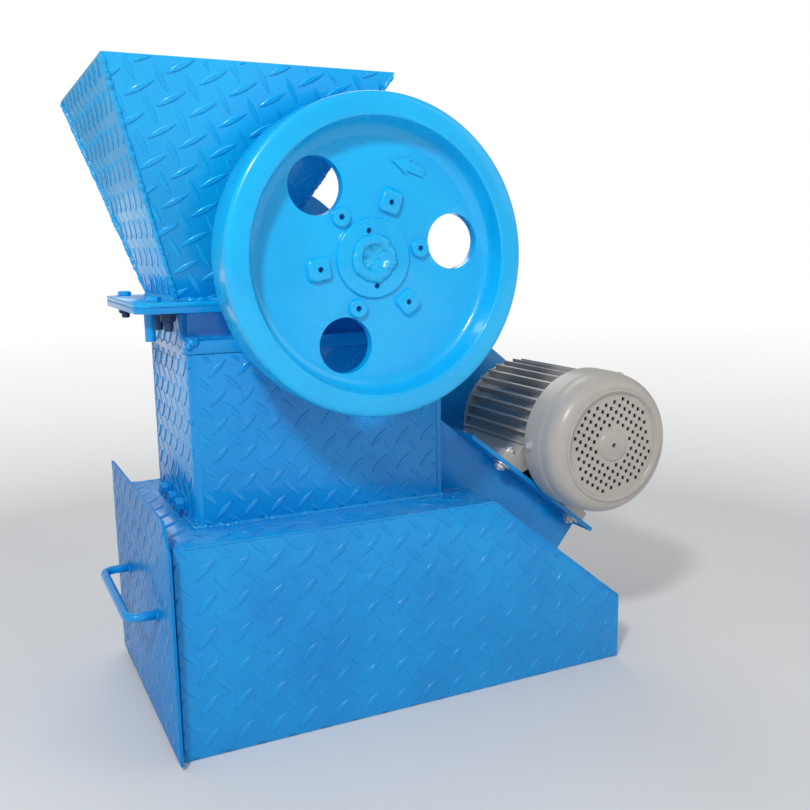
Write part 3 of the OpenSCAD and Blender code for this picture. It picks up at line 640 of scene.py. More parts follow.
def tread(name, node, corners, pitch, turn=0.0, start=(0.02, 0.02), margin=0.001, stretch=1.0,
          relief=1.0):
    """Raised lozenges over a flat area. The corners run anticlockwise as seen from outside.

    Start is the middle of one lozenge that leans to the right, from the first corner."""
    template_name = "lozenge_%d_%d" % (round(pitch * 1e4), round(stretch * 100))
    template = bpy.data.meshes.get(template_name) or lozenge(template_name, pitch, stretch)
    right = Matrix.Diagonal((1, 1, relief, 1))
    left = Matrix.Diagonal((1, 1, relief * sizes("plate").left_share, 1))
    corners = [Vector(corner) for corner in corners]
    along = (corners[1] - corners[0]).normalized()
    out = along.cross(corners[-1] - corners[0]).normalized()
    frame_of = place_at(corners[0], along, out)
    flat = [frame_of.inverted() @ corner for corner in corners]
    spin = Matrix.Rotation(turn, 4, "Z")
    start = Vector((*start, 0))
    count = math.ceil((max(point.length for point in flat) + start.length) / pitch) + 1
    edges = [(flat[i - 1], (flat[i] - flat[i - 1]).normalized()) for i in range(len(flat))]
    bm = bmesh.new()
    for row in range(-count, count + 1):
        for column in range(-count, count + 1):
            for half in (0, 1):
                spot = start + spin @ Vector((column + half / 2, row + half / 2, 0)) * pitch
                inside = min(Z.cross(way).dot(spot - corner) for corner, way in edges)
                if inside < -pitch * 0.4:
                    continue
                lean = Matrix.Rotation(turn + math.radians(-45 if half else 45), 4, "Z")
                stamp(bm, template, Matrix.Translation(spot) @ lean @ (left if half else right))
    for corner, way in edges:
        inward = Z.cross(way)
        bmesh.ops.bisect_plane(
            bm, geom=bm.verts[:] + bm.edges[:] + bm.faces[:], plane_co=corner + inward * margin,
            plane_no=-inward, clear_outer=True, dist=1e-6)
        bmesh.ops.holes_fill(bm, edges=[edge for edge in bm.edges if edge.is_boundary])
    bmesh.ops.transform(bm, matrix=frame_of, verts=bm.verts)
    return piece(name, bm, node)


class CRUSHER_OT_base(bpy.types.Operator):
    """Base of checker plate: eased plates and raised lozenges"""

    bl_idname = "crusher.base"
    bl_label = "Base"

    def execute(self, context):
        pitch = sizes("plate").base_pitch
        eased(("base_side_near", "base_side_far", "base_top_plate", "base_slope_plate",
               "base_tail_plate", "base_floor", "drawer_runners"), sizes("plate").edge)
        start, end = ends("base_side_near", "base_side_far")
        fold, tail = high("base_top_plate").x, high("base_tail_plate").z
        outline = [(start.x, 0), (end.x, 0), (end.x, tail), (fold, end.z), (start.x, end.z)]
        near = [(x, start.y, z) for x, z in outline]
        far = [(x, end.y, z) for x, z in reversed(outline)]
        seen = (-0.3015 - start.x, 0.2489)
        tread("tread_base_near", "base_side_near", near, pitch, -0.018, seen)
        tread("tread_base_far", "base_side_far", far, pitch)
        body, body_end = ends("casing_side_near", "casing_side_far")
        front, rear = low("casing_front").x, high("casing_rear").x
        for name, x0, x1, y0, y1 in (
                ("front", start.x, front, start.y, end.y), ("near", front, rear, start.y, body.y),
                ("far", front, rear, body_end.y, end.y), ("rear", rear, fold, start.y, end.y)):
            tread("tread_base_top_" + name, "base_top_plate", loop(x0, x1, y0, y1, end.z)[:4], pitch)
        near_tail, far_tail = (end.x, start.y, tail), (end.x, end.y, tail)
        slope = [(fold, start.y, end.z), near_tail, far_tail, (fold, end.y, end.z)]
        tread("tread_base_slope", "base_slope_plate", slope, pitch)
        upright = [(end.x, start.y, 0), (end.x, end.y, 0), far_tail, near_tail]
        tread("tread_base_tail", "base_tail_plate", upright, pitch)
        return {"FINISHED"}


class CRUSHER_OT_casing(bpy.types.Operator):
    """Crusher body: casing, frame, ledges and flanges"""

    bl_idname = "crusher.casing"
    bl_label = "Casing"

    def execute(self, context):
        edge, pitch = sizes("plate").edge, sizes("plate").pitch
        eased(("casing_side_near", "casing_side_far", "casing_front", "casing_rear", "ledge_near",
               "ledge_far", "frame_plate_near", "frame_plate_far", "body_flange", "hopper_flange"),
              edge * 1.5)
        start, end = ends("casing_side_near", "casing_side_far")
        front, rear = low("casing_front").x, high("casing_rear").x
        wall = [(start.x, start.z), (end.x, start.z), (end.x, end.z), (start.x, end.z)]
        seen = (-0.2556 - start.x, 0.4511 - start.z)
        walls = [("near", "casing_side_near", [(x, start.y, z) for x, z in wall], seen),
                 ("far", "casing_side_far", [(x, end.y, z) for x, z in reversed(wall)], seen)]
        neck, neck_end = ends("frame_plate_near", "frame_plate_far")
        for place, y0, y1, z0, z1 in (("", start.y, end.y, start.z, end.z),
                                      ("_neck", neck.y, neck_end.y, end.z, neck_end.z)):
            across = [(y0, z0), (y1, z0), (y1, z1), (y0, z1)]
            first = 0.02 + start.y - y0
            walls += [("front" + place, "casing_front", [(front, y, z) for y, z in reversed(across)],
                       (first, 0.02 + z1 - end.z)),
                      ("rear" + place, "casing_rear", [(rear, y, z) for y, z in across],
                       (first, 0.02 + start.z - z0))]
        for name, node, corners, first in walls:
            tread("tread_casing_" + name, node, corners, pitch, 0.0, first, sizes("plate").margin)
        return {"FINISHED"}


def hopper_corners():
    """The outer corners of the hopper's bottom and top, near front first, then anticlockwise."""
    sheet = sizes("plate").sheet
    start, end = ends("hopper_side_near", "hopper_side_far")
    x0, x1 = high("hopper_front").x - sheet, low("hopper_rear").x + sheet
    y1 = -high("hopper_side_near").y + sheet
    bottom = [Vector((x, y, start.z)) for x, y in ((x0, -y1), (x1, -y1), (x1, y1), (x0, y1))]
    top = [Vector((x, y, end.z)) for x, y in
           ((start.x, start.y), (end.x, start.y), (end.x, end.y), (start.x, end.y))]
    return bottom, top


class CRUSHER_OT_hopper(bpy.types.Operator):
    """Hopper of checker plate, with the pattern turned on its near wall"""

    bl_idname = "crusher.hopper"
    bl_label = "Hopper"

    def execute(self, context):
        plate = sizes("plate")
        bottom, top = hopper_corners()
        walls = ("hopper_side_near", "hopper_rear", "hopper_side_far", "hopper_front")
        for i, node in enumerate(walls):
            eased([node], plate.edge)
            j = (i + 1) % 4
            turn = 0.0 if i else plate.hopper_turn
            seen = (0.02, 0.02) if i else (-0.3342 - bottom[0].x, 0.2922)
            corners = [bottom[i], bottom[j], top[j], top[i]]
            tread("tread_" + node, node, corners, plate.pitch, turn, seen, 0.002, plate.hopper_stretch)
        return {"FINISHED"}


# Welds

def bars(splines, radius, resolution=1):
    """A bmesh of round bars, each a list of points with their shares of the radius."""
    curve = bpy.data.curves.new("bars", "CURVE")
    curve.dimensions = "3D"
    curve.bevel_depth = radius
    curve.bevel_resolution = resolution
    curve.use_fill_caps = True
    for points in splines:
        spline = curve.splines.new("POLY")
        spline.points.add(len(points) - 1)
        for (spot, share), target in zip(points, spline.points):
            target.co = (*spot, 1)
            target.radius = share
    temporary = placed("bars", curve)
    bpy.context.view_layer.update()
    graph = bpy.context.evaluated_depsgraph_get()
    data = bpy.data.meshes.new_from_object(temporary.evaluated_get(graph))
    bpy.data.objects.remove(temporary)
    bpy.data.curves.remove(curve)
    bm = bmesh.new()
    bm.from_mesh(data)
    bpy.data.meshes.remove(data)
    bmesh.ops.remove_doubles(bm, verts=bm.verts, dist=1e-6)
    bmesh.ops.recalc_face_normals(bm, faces=bm.faces)
    return bm


def beads(name, node, lines, radius, seed=1, rough=1.0):
    """Rippled weld beads along straight or bent lines, each a list of points."""
    ripple = sizes("plate").ripple
    rng = random.Random(seed)
    splines = []
    for line in lines:
        line = [Vector(point) for point in line]
        points = []
        for start, end in zip(line, line[1:]):
            steps = max(2, round((end - start).length / ripple * 2))
            points += [start.lerp(end, i / steps) for i in range(steps)]
        points.append(line[-1])
        splines.append([])
        swell = 1.0
        for i, spot in enumerate(points):
            swell = 0.7 * swell + 0.3 * rng.uniform(0.55, 1.6)
            wander = Vector([rng.uniform(-1, 1) for _ in range(3)]) * radius * 0.10 * rough
            lump = swell * (1.08 if i % 2 else 0.86) * (0.6 if i in (0, len(points) - 1) else 1)
            splines[-1].append((spot + wander, 1 + (lump - 1) * rough))
    return piece(name, bars(splines, radius), node)


def blobs(name, node, spots, radius, seed=1):
    """Lumps of weld metal at some places."""
    rng = random.Random(seed)
    bm = bmesh.new()
    for spot in spots:
        stretch = Matrix.Diagonal([rng.uniform(0.75, 1.25) for _ in range(3)] + [1])
        turn = Matrix.Rotation(rng.uniform(0, math.tau), 4, "Z")
        made = bmesh.ops.create_icosphere(
            bm, subdivisions=2, radius=radius, matrix=Matrix.Translation(spot) @ turn @ stretch)
        for vert in made["verts"]:
            vert.co += (vert.co - Vector(spot)) * rng.uniform(-0.08, 0.08)
    return piece(name, bm, node)


def loop(x0, x1, y0, y1, z):
    """A level rectangle as a closed line."""
    return [(x0, y0, z), (x1, y0, z), (x1, y1, z), (x0, y1, z), (x0, y0, z)]


class CRUSHER_OT_welds(bpy.types.Operator):
    """Weld beads along the seams of the base, casing, hopper and brackets"""

    bl_idname = "crusher.welds"
    bl_label = "Welds"

    def execute(self, context):
        bead = sizes("plate").bead
        self.hopper(bead)
        self.casing(bead)
        self.neck(bead)
        self.base(bead)
        self.brackets(bead)
        self.lumps()
        return {"FINISHED"}

    def hopper(self, bead):
        """Beads up the hopper's corners and round its foot."""
        bottom, top = hopper_corners()
        lines = []
        for lower, upper in zip(bottom, top):
            shift = Vector((0, math.copysign(0.0015, -lower.y), 0))
            lines.append([lower + shift, upper + shift + (lower - upper).normalized() * 0.004])
        beads("weld_hopper_corners", "hopper_side_near", lines, bead * 0.75, 3)
        beads("weld_hopper_foot", "hopper_flange", [bottom + bottom[:1]], bead, 4)

    def casing(self, bead):
        """Beads round the casing's foot and up its corners, the near front one flush with lumps."""
        body, end = ends("casing_side_near", "casing_side_far")
        front, rear = low("casing_front").x, high("casing_rear").x
        foot = loop(front, rear, body.y, end.y, body.z)
        beads("weld_casing_foot", "casing_side_near", [foot], bead, 5)
        inset = 0.0042
        near, far = body.y + inset, end.y - inset
        uprights = [[(x, y, body.z), (x, y, end.z)]
                    for x, y in ((front + inset, far), (rear - inset, near), (rear - inset, far))]
        beads("weld_casing_corners", "casing_front", uprights, bead * 1.22, 6, 0.12)
        tall = end.z - body.z
        lumps = [Vector((front + 0.0012, body.y + 0.0012, body.z + share * tall))
                 for share in (0.03, 0.05, 0.44, 0.47, 0.62, 0.93)]
        blobs("weld_corner_lumps", "casing_side_near", lumps, 0.0026, 13)
        corner = Matrix.Translation((body.x, body.y + 0.0007, (body.z + end.z) / 2))
        flush = bmesh.new()
        bmesh.ops.create_cube(flush, size=1, matrix=corner @ Matrix.Diagonal((0.0042, 0.0017, tall, 1)))
        piece("weld_corner_flush", flush, "casing_side_near", smooth=False)
        rise = body.z + 0.0015
        lumps = [Vector((front + along, body.y - 0.0015, rise))
                 for along in (0.001, 0.004, 0.008, 0.012, 0.031, 0.034, 0.053, 0.094)]
        lumps += [Vector((front - 0.001, body.y + across, rise)) for across in (0.003, 0.007)]
        blobs("weld_foot_lumps", "casing_side_near", lumps, 0.0042, 14)

    def neck(self, bead):
        """Beads round the frame plates above the ledges."""
        inset = 0.002
        front, rear = low("casing_front").x, high("casing_rear").x
        neck, end = ends("frame_plate_near", "frame_plate_far")
        foot = high("ledge_near").z
        lines = [[(front, y, foot), (rear, y, foot)] for y in (neck.y, end.y)]
        lines += [[(x, y, foot), (x, y, end.z)]
                  for x in (front + inset, rear - inset) for y in (neck.y + inset, end.y - inset)]
        lines += [[(front, y, end.z), (rear, y, end.z)] for y in (neck.y, end.y)]
        beads("weld_neck", "frame_plate_near", lines, bead * 0.75, 7)

    def base(self, bead):
        """Fine beads along the base's long upper edges."""
        inset = 0.001
        start, end = ends("base_side_near", "base_side_far")
        fold, tail = high("base_top_plate").x, high("base_tail_plate").z
        lines = []
        for y in (start.y + inset, end.y - inset):
            bend = (fold, y, end.z - inset)
            lines += [[(start.x, y, end.z - inset), bend], [bend, (end.x - inset, y, tail - inset)]]
        beads("weld_base_edges", "base_top_plate", lines, bead * 0.45, 8)

    def brackets(self, bead):
        """Beads along the motor's brackets, on the base and up the casing's rear."""
        end, fold, tail = high("base_side_far"), high("base_top_plate").x, high("base_tail_plate").z
        rear = high("casing_rear").x
        slope = Vector((end.x - fold, 0, tail - end.z)).normalized()
        lines = []
        for node in ("bracket_near", "bracket_far"):
            near, far = ends(node)
            run = (far.x - fold) / slope.x * 0.97
            for y in (near.y, far.y):
                foot = (rear, y, end.z)
                lines.append([foot, (fold, y, end.z), Vector((fold, y, end.z)) + slope * run])
                lines.append([foot, (rear, y, end.z + 0.18)])
        beads("weld_brackets", "bracket_near", lines, bead * 0.6, 9)

    def lumps(self):
        """Lumps at the near ledge's end, and spatter by the seams."""
        ledge = low("ledge_near")
        corner = Vector((ledge.x + 0.003, ledge.y + 0.002, high("ledge_near").z - 0.006))
        shifts = ((0, 0, 0), (0.004, 0, 0.004), (-0.001, 0.003, -0.006), (0.009, 0.001, 0.004))
        blobs("weld_ledge_end", "ledge_near", [corner + Vector(shift) for shift in shifts], 0.0062, 10)
        rng = random.Random(11)
        foot, body = hopper_corners()[0][0], low("casing_side_near")
        front, rear = low("casing_front").x, high("casing_rear").x
        spatter = [foot + Vector((rng.uniform(-0.004, 0.010), -rng.uniform(0.001, 0.007), 0.001))
                   for _ in range(4)]
        spatter += [Vector((rng.uniform(front, rear), body.y - rng.uniform(0.004, 0.012), body.z))
                    for _ in range(14)]
        blobs("weld_spatter", "casing_side_near", spatter, 0.0019, 12)


# Flywheel and shaft

# Angles on the wheel in degrees, anticlockwise from the right
ROUND_BOSSES = (10, 130, 250)
SQUARE_BOSSES = (70, 190, 310)
HUB_HOLES = (100, 276)
HUB_CIRCLE = 0.034
SMALL_HOLE = 0.0035


def cut(obj, cutter_bm, name):
    """Takes the cutter's shape out of an object for good."""
    data = template_of(name, cutter_bm)
    cutter = placed(name, data)
    boolean = obj.modifiers.new("Cut", "BOOLEAN")
    boolean.operation = "DIFFERENCE"
    boolean.solver = "EXACT"
    boolean.object = cutter
    apply_modifiers(obj)
    bpy.data.objects.remove(cutter)
    bpy.data.meshes.remove(data)


def apply_modifiers(obj):
    """Makes an object's modifiers part of its mesh."""
    bpy.context.view_layer.update()
    graph = bpy.context.evaluated_depsgraph_get()
    data = bpy.data.meshes.new_from_object(obj.evaluated_get(graph))
    obj.modifiers.clear()
    old = obj.data
    obj.data = data
    bpy.data.meshes.remove(old)


def bevel_sharp(obj, width, segments, sharp, test):
    """Bevels the sharp edges of an object's mesh for good, those whose middle passes the test."""
    bm = bmesh.new()
    bm.from_mesh(obj.data)
    edges = [edge for edge in bm.edges
             if len(edge.link_faces) == 2 and edge.calc_face_angle(0) > math.radians(sharp)
             and test((edge.verts[0].co + edge.verts[1].co) / 2)]
    bmesh.ops.bevel(
        bm, geom=edges, offset=width, segments=segments, profile=0.5, affect="EDGES", material=-1,
        offset_type="OFFSET", clamp_overlap=True)
    bm.to_mesh(obj.data)
    bm.free()


def wheel_frame():
    """The flywheel's frame: Z along the shaft from the outer face inwards, X to the right."""
    return place_at((SHAFT.x, low("flywheel").y, SHAFT.z), X, Y)


def on_wheel(turn, radius, depth):
    """A point of the wheel by its angle, anticlockwise from the right as seen from the near side."""
    turn = math.radians(turn)
    return Vector((radius * math.cos(turn), -radius * math.sin(turn), depth))


def drills(bm, turns, circle, radius=SMALL_HOLE, depth=0.08, segments=20):
    """Adds discs that reach in from before the wheel, at some angles on a circle."""
    for turn in turns:
        spot = Matrix.Translation(on_wheel(turn, circle, -0.01))
        disc(bm, wheel_frame() @ spot, radius, depth, segments)


class CRUSHER_OT_flywheel(bpy.types.Operator):
    """Cast flywheel with its bosses, holes and arrow, and the welded end of the shaft"""

    bl_idname = "crusher.flywheel"
    bl_label = "Flywheel"

    def execute(self, context):
        wheel = sizes("wheel")
        matrix = wheel_frame()
        radius = (high("flywheel").x - low("flywheel").x) / 2
        width = high("flywheel").y - low("flywheel").y - 0.006
        back = wheel.recess + wheel.web
        inner = radius - wheel.rim
        bore = high("main_shaft").z - SHAFT.z
        face = wheel.recess - wheel.hub_rise
        profile = [(bore + 0.0001, face), (wheel.hub, face),
                   (wheel.hub + 0.002, wheel.recess), (inner - 0.004, wheel.recess), (inner, 0),
                   (radius, 0), (radius, width), (inner, width), (inner - 0.010, back),
                   (wheel.hub + 0.003, back), (wheel.hub, width + 0.006),
                   (bore + 0.0001, width + 0.006)]
        rounds = {1: 0.0012, 2: 0.0012, 3: 0.020, 4: 0.0035, 5: 0.0085, 6: 0.004, 7: 0.003, 8: 0.012,
                  9: 0.006, 10: 0.002}
        bm = spun(rounded(profile, rounds, 5), 160)
        bmesh.ops.transform(bm, matrix=matrix, verts=bm.verts)
        obj = piece("flywheel_casting", bm, "flywheel")
        holes = bmesh.new()
        drills(holes, ROUND_BOSSES, wheel.hole_circle, wheel.hole, 0.1, 72)
        cut(obj, holes, "wheel_holes")

        def by_hole(spot):
            local = matrix.inverted() @ spot
            centres = [on_wheel(turn, wheel.hole_circle, 0).xy for turn in ROUND_BOSSES]
            return any((local.xy - centre).length < wheel.hole + 0.001 for centre in centres)

        bevel_sharp(obj, wheel.fillet, 4, 50, by_hole)
        small = bmesh.new()
        drills(small, ROUND_BOSSES, wheel.boss_circle)
        drills(small, SQUARE_BOSSES, wheel.pad_circle)
        drills(small, HUB_HOLES, HUB_CIRCLE, depth=0.055)
        cut(obj, small, "wheel_small_holes")
        shade_by_angle(obj, 35)
        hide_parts("flywheel")
        self.bosses(wheel, matrix)
        self.arrow(wheel, matrix)
        self.hub(wheel, matrix)
        return {"FINISHED"}

    def bosses(self, wheel, matrix):
        """Round and square bosses, each with its hole."""
        foot = wheel.recess + 0.004
        top = wheel.recess - wheel.boss_height
        wide = wheel.boss + wheel.draft * 0.6
        ring = rounded([(SMALL_HOLE, foot), (SMALL_HOLE, top), (wheel.boss, top), (wide, foot - 0.003),
                        (wide, foot)], {1: 0.001, 2: 0.0022}, 4)
        bm = bmesh.new()
        template = template_of("round_boss", spun(ring, 28))
        for turn in ROUND_BOSSES:
            stamp(bm, template, matrix @ Matrix.Translation(on_wheel(turn, wheel.boss_circle, 0)))
        bmesh.ops.recalc_face_normals(bm, faces=bm.faces)
        piece("flywheel_round_bosses", bm, "flywheel")
        side = wheel.pad
        for angle in SQUARE_BOSSES:
            block = bmesh.new()
            bmesh.ops.create_cube(block, size=1, matrix=Matrix.Diagonal((side, side, foot - top, 1)))
            wider = 1 + 2 * wheel.draft / side
            foot_verts = [vert for vert in block.verts if vert.co.z > 0]
            bmesh.ops.scale(block, vec=(wider, wider, 1), verts=foot_verts)
            for vert in foot_verts:
                vert.co.x += wheel.pad_slope if vert.co.x > 0 else 0
            tall = [edge for edge in block.edges
                    if abs((edge.verts[0].co - edge.verts[1].co).z) > 1e-4]
            bmesh.ops.bevel(block, geom=tall, offset=side * 0.24, segments=5, profile=0.5,
                            affect="EDGES", material=-1)
            lip = [edge for edge in block.edges if all(vert.co.z < 0 for vert in edge.verts)
                   and not all(face.normal.z < -0.9 for face in edge.link_faces)]
            bmesh.ops.bevel(block, geom=lip, offset=0.002, segments=3, profile=0.5,
                            affect="EDGES", material=-1)
            turn = Matrix.Rotation(math.radians(-angle), 4, "Z")
            centre = Matrix.Translation(on_wheel(angle, wheel.pad_circle, (foot + top) / 2))
            bmesh.ops.transform(block, matrix=matrix @ centre @ turn, verts=block.verts)
            obj = piece("flywheel_pad_%d" % angle, block, "flywheel")
            hole = bmesh.new()
            drills(hole, [angle], wheel.pad_circle)
            cut(obj, hole, "pad_hole")
            shade_by_angle(obj, 35)

    def arrow(self, wheel, matrix):
        """A raised arrow that shows the way the wheel turns."""
        outline = [(-0.0245, -0.001), (0.0015, 0.0115), (-0.0010, 0.0058), (0.0225, 0.0052),
                   (0.0232, -0.0052), (-0.0005, -0.0062), (0.0025, -0.0112)]
        height, draft = 0.0030, 0.0009
        bm = bmesh.new()
        face = bm.faces.new([bm.verts.new((x, -y, 0.0006)) for x, y in outline])
        bmesh.ops.inset_region(bm, faces=[face], thickness=draft, use_even_offset=True)
        bmesh.ops.translate(bm, vec=(0, 0, -height), verts=face.verts)
        bmesh.ops.recalc_face_normals(bm, faces=bm.faces)
        tilt = Matrix.Rotation(math.radians(21), 4, "Z")
        centre = Matrix.Translation(on_wheel(66, 0.122, wheel.recess))
        bmesh.ops.transform(bm, matrix=matrix @ centre @ tilt, verts=bm.verts)
        bmesh.ops.recalc_face_normals(bm, faces=bm.faces)
        if face.normal.y > 0:
            bmesh.ops.reverse_faces(bm, faces=bm.faces)
        ease(piece("flywheel_arrow", bm, "flywheel"), 0.0005, 2, 20)

    def hub(self, wheel, matrix):
        """The shaft's painted end and the broad rough weld round it."""
        rng = random.Random(22)
        face = wheel.recess - wheel.hub_rise
        profile = [(0.0, -0.0015), (0.0164, -0.0015), (0.0172, -0.0034), (0.0196, -0.0044),
                   (0.0236, -0.0040), (0.0272, -0.0032), (0.0293, -0.0018), (0.0300, 0.0004)]
        bm = spun([(radius, face + depth) for radius, depth in profile] + [(0.0, face + 0.0004)], 120)
        for vert in bm.verts:
            radius = math.hypot(vert.co.x, vert.co.y)
            if not 0.0165 < radius < 0.0299:
                continue
            angle = math.atan2(vert.co.y, vert.co.x)
            ripple = math.sin(angle * 21 + 3.4 * math.sin(angle * 4) + radius * 260) * 0.00035
            swell = math.sin(angle * 5 + 1) * 0.0008 + math.sin(angle * 11 + radius * 400) * 0.0006
            vert.co.z -= ripple + swell * 0.5 + rng.uniform(0, 0.0006)
            vert.co.xy *= 1 + (swell + rng.uniform(-0.0003, 0.0003)) / radius
        bmesh.ops.transform(bm, matrix=matrix, verts=bm.verts)
        piece("flywheel_hub_weld", bm, "flywheel")
        spots = [matrix @ on_wheel(angle, radius, face - 0.001)
                 for angle, radius in ((20, 0.004), (255, 0.007), (300, 0.0115), (150, 0.009))]
        blobs("flywheel_hub_blobs", "flywheel", spots, 0.0017, 23)


def shade_by_angle(obj, angle):
    """Smooth faces, with edges sharper than the angle kept sharp."""
    bm = bmesh.new()
    bm.from_mesh(obj.data)
    for face in bm.faces:
        face.smooth = True
    for edge in bm.edges:
        edge.smooth = len(edge.link_faces) == 2 and edge.calc_face_angle(0) < math.radians(angle)
    bm.to_mesh(obj.data)
    bm.free()


class CRUSHER_OT_bearings(bpy.types.Operator):
    """Cast bearing blocks with their bolts"""

    bl_idname = "crusher.bearings"
    bl_label = "Bearings"

    def execute(self, context):
        for node in ("bearing_near", "bearing_far"):
            eased([node], 0.0025, 3, 35)
            seat = (middle(node).y, low(node).z + 0.020)
            bolts = [(place_at((SHAFT.x + side * 0.079, *seat), X, Z), 0.024, 0.014, 0.016, 0.010)
                     for side in (-1, 1)]
            fasteners("bolts_" + node, node, bolts, "Zinc plate")
        return {"FINISHED"}


class CRUSHER_OT_bolts(bpy.types.Operator):
    """Bolts of the flanges, the casing's front and the motor's feet"""

    bl_idname = "crusher.bolts"
    bl_label = "Bolts"

    def execute(self, context):
        top, under = high("hopper_flange").z, low("body_flange").z
        fasteners("bolts_hopper_flange", "hopper_flange", [
            (place_at((x, y, top), X + Y * 0.3, Z), 0.0165, 0.0065, 0.010, 0.0, 0.0)
            for x, y in ((-0.329, 0.101), (-0.324, -0.084))], None, 0.0008, 2)
        stud = bmesh.new()
        disc(stud, place_at((-0.331, -0.086, under), X, -Z), 0.0066, 0.036, 24)
        ease(piece("stud_near", stud, "body_flange"), 0.0006, 1)
        # The nuts under the body flange are darkened to navy as painted shade for the flange's shadow
        fasteners("nuts_body_flange", "body_flange", [
            (place_at((x, y, under), X, -Z), 0.018, 0.009, 0.012, proud)
            for x, y, proud in (
                (-0.329, 0.101, 0.007), (-0.311, -0.043, 0.015), (-0.311, -0.102, 0.013))], "Nut paint")
        front = low("casing_front").x
        fasteners("bolts_casing_front", "casing_front", [
            (place_at((front, y, 0.300), Z + Y * 0.35, -X), 0.017, 0.011, 0.012)
            for y in (-0.052, -0.010, 0.047)], None, 0.0012, 2)
        self.feet(sizes("motor"))
        return {"FINISHED"}

    def feet(self, motor):
        """The motor's foot bolts, with nuts under the shelf."""
        fold, tail = high("base_top_plate"), high("base_tail_plate")
        slope = Vector((tail.x - fold.x, 0, tail.z - fold.z)).normalized()
        out = Vector((-slope.z, 0, slope.x))
        top = MOTOR - out * 0.100
        near = low("motor_shelf").y
        seats = [top + slope * side + Y * (near + across)
                 for side in (-0.080, 0.080) for across in (0.014, 0.156)]
        fasteners("bolts_motor_feet", "motor_shelf", [
            (place_at(seat + way * rise, slope, way), motor.head, 0.0065, motor.stud, 0.003)
            for seat in seats for way, rise in ((out, 0.012), (-out, 0.006))], "Zinc plate")


# Motor

class CRUSHER_OT_motor(bpy.types.Operator):
    """Electric motor: finned frame, perforated cowl, end shield and terminal box"""

    bl_idname = "crusher.motor"
    bl_label = "Motor"

    def execute(self, context):
        eased(["motor_frame"], 0.0009)
        eased(["motor_shield"], 0.002, 3)
        eased(["motor_terminal_box"], 0.005, 3)
        box = middle("motor_terminal_box")
        gland = (place_at((box.x, low("motor_terminal_box").y, box.z), X, -Y), 0.021, 0.011, 0.014, 0.004)
        fasteners("cable_gland", "motor_terminal_box", [gland], "Belt rubber")
        eased(("bracket_near", "bracket_far", "motor_shelf"), sizes("plate").edge)
        self.cowl()
        self.screws()
        return {"FINISHED"}

    def cowl(self):
        """A pressed cowl with square vent holes in its face."""
        motor = sizes("motor")
        start, end = ends("motor_cowl")
        radius = (end.x - start.x) / 2
        depth = end.y - start.y
        matrix = place_at((MOTOR.x, start.y, MOTOR.z), X, Y)
        skin, face, shoulder = motor.skin, motor.face, motor.shoulder
        side = radius - 0.0016

        def curve(r0, r1, d0, d1):
            turns = [math.radians(turn) for turn in range(0, 91, 9)]
            return [(r0 + (r1 - r0) * math.sin(turn), d0 + (d1 - d0) * (1 - math.cos(turn)))
                    for turn in turns]

        rim = [(0, 0.0030), (0.0212, 0.0030), (0.0222, 0.0034), (0.0240, 0.0058),
               (face - 0.0060, 0.0058), (face - 0.0050, 0.0050), (face - 0.0034, 0.0008),
               (face - 0.0018, 0.0001), (face, 0.0008)]
        outside = curve(face + 0.0014, side, 0.0036, shoulder)
        step = [(side, shoulder + 0.007), (radius - 0.0004, shoulder + 0.010),
                (radius, shoulder + 0.012), (radius, depth), (radius - skin, depth),
                (side - skin, shoulder + 0.006)]
        inside = curve(face - 0.0015, side - skin, 0.0080, shoulder)
        bm = spun(rim + outside + step + inside[::-1] + [(0, 0.0080)], 128)
        bmesh.ops.transform(bm, matrix=matrix, verts=bm.verts)
        obj = piece("cowl_shell", bm, "motor_cowl")
        cutters = bmesh.new()
        pitch = motor.vent_pitch
        count = math.ceil(motor.vent_outer * 1.5 / pitch)
        for row in range(-count, count + 1):
            for column in range(-count, count + 1):
                spot = Matrix.Rotation(motor.vent_turn, 3, "Z") @ Vector((column * pitch, row * pitch, 0))
                spot.z = -0.004
                if not motor.vent_inner < math.hypot(spot.x, spot.y) < motor.vent_outer:
                    continue
                place = matrix @ Matrix.Translation(spot) @ Matrix.Rotation(math.radians(45), 4, "Z")
                disc(cutters, place, motor.vent / math.sqrt(2), 0.016, 4)
        disc(cutters, matrix @ Matrix.Translation((0, 0, -0.004)), SMALL_HOLE, 0.016, 16)
        cut(obj, cutters, "vent_holes")
        shade_by_angle(obj, 35)
        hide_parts("motor_cowl")
        back = bmesh.new()
        disc(back, matrix @ Matrix.Translation((0, 0, 0.018)), radius - 0.006, depth - 0.018, 64)
        piece("fan_disc", back, "motor_cowl", "Belt rubber", False)

    def screws(self):
        """Screws that hold the cowl."""
        start, end = ends("motor_cowl")
        radius = (end.x - start.x) / 2
        bolts = []
        for turn in (58, 180, 302):
            way = Vector((math.cos(math.radians(turn)), 0, math.sin(math.radians(turn))))
            spot = MOTOR + way * radius + Y * (end.y - 0.012)
            bolts.append((place_at(spot, Y, way), 0.009, 0.004, 0.005))
        fasteners("screws_cowl", "motor_cowl", bolts, "Zinc plate", 0.0004)


class CRUSHER_OT_drive(bpy.types.Operator):
    """Belt guard, belt and pulleys"""

    bl_idname = "crusher.drive"
    bl_label = "Belt drive"

    def execute(self, context):
        eased(["belt_guard"], 0.0015, 2, 40)
        eased(["drive_belt"], 0.0008, 2, 25)
        eased(("driven_pulley", "motor_pulley", "main_shaft", "motor_shaft"), 0.001)
        return {"FINISHED"}


class CRUSHER_OT_jaws(bpy.types.Operator):
    """Jaw plates, moving jaw, cheeks and toggle"""

    bl_idname = "crusher.jaws"
    bl_label = "Jaws"

    def execute(self, context):
        eased(("fixed_jaw", "moving_jaw", "swing_jaw_plate", "cheek_plates", "toggle_plate",
               "toggle_seat"), 0.0015, 2, 25)
        return {"FINISHED"}


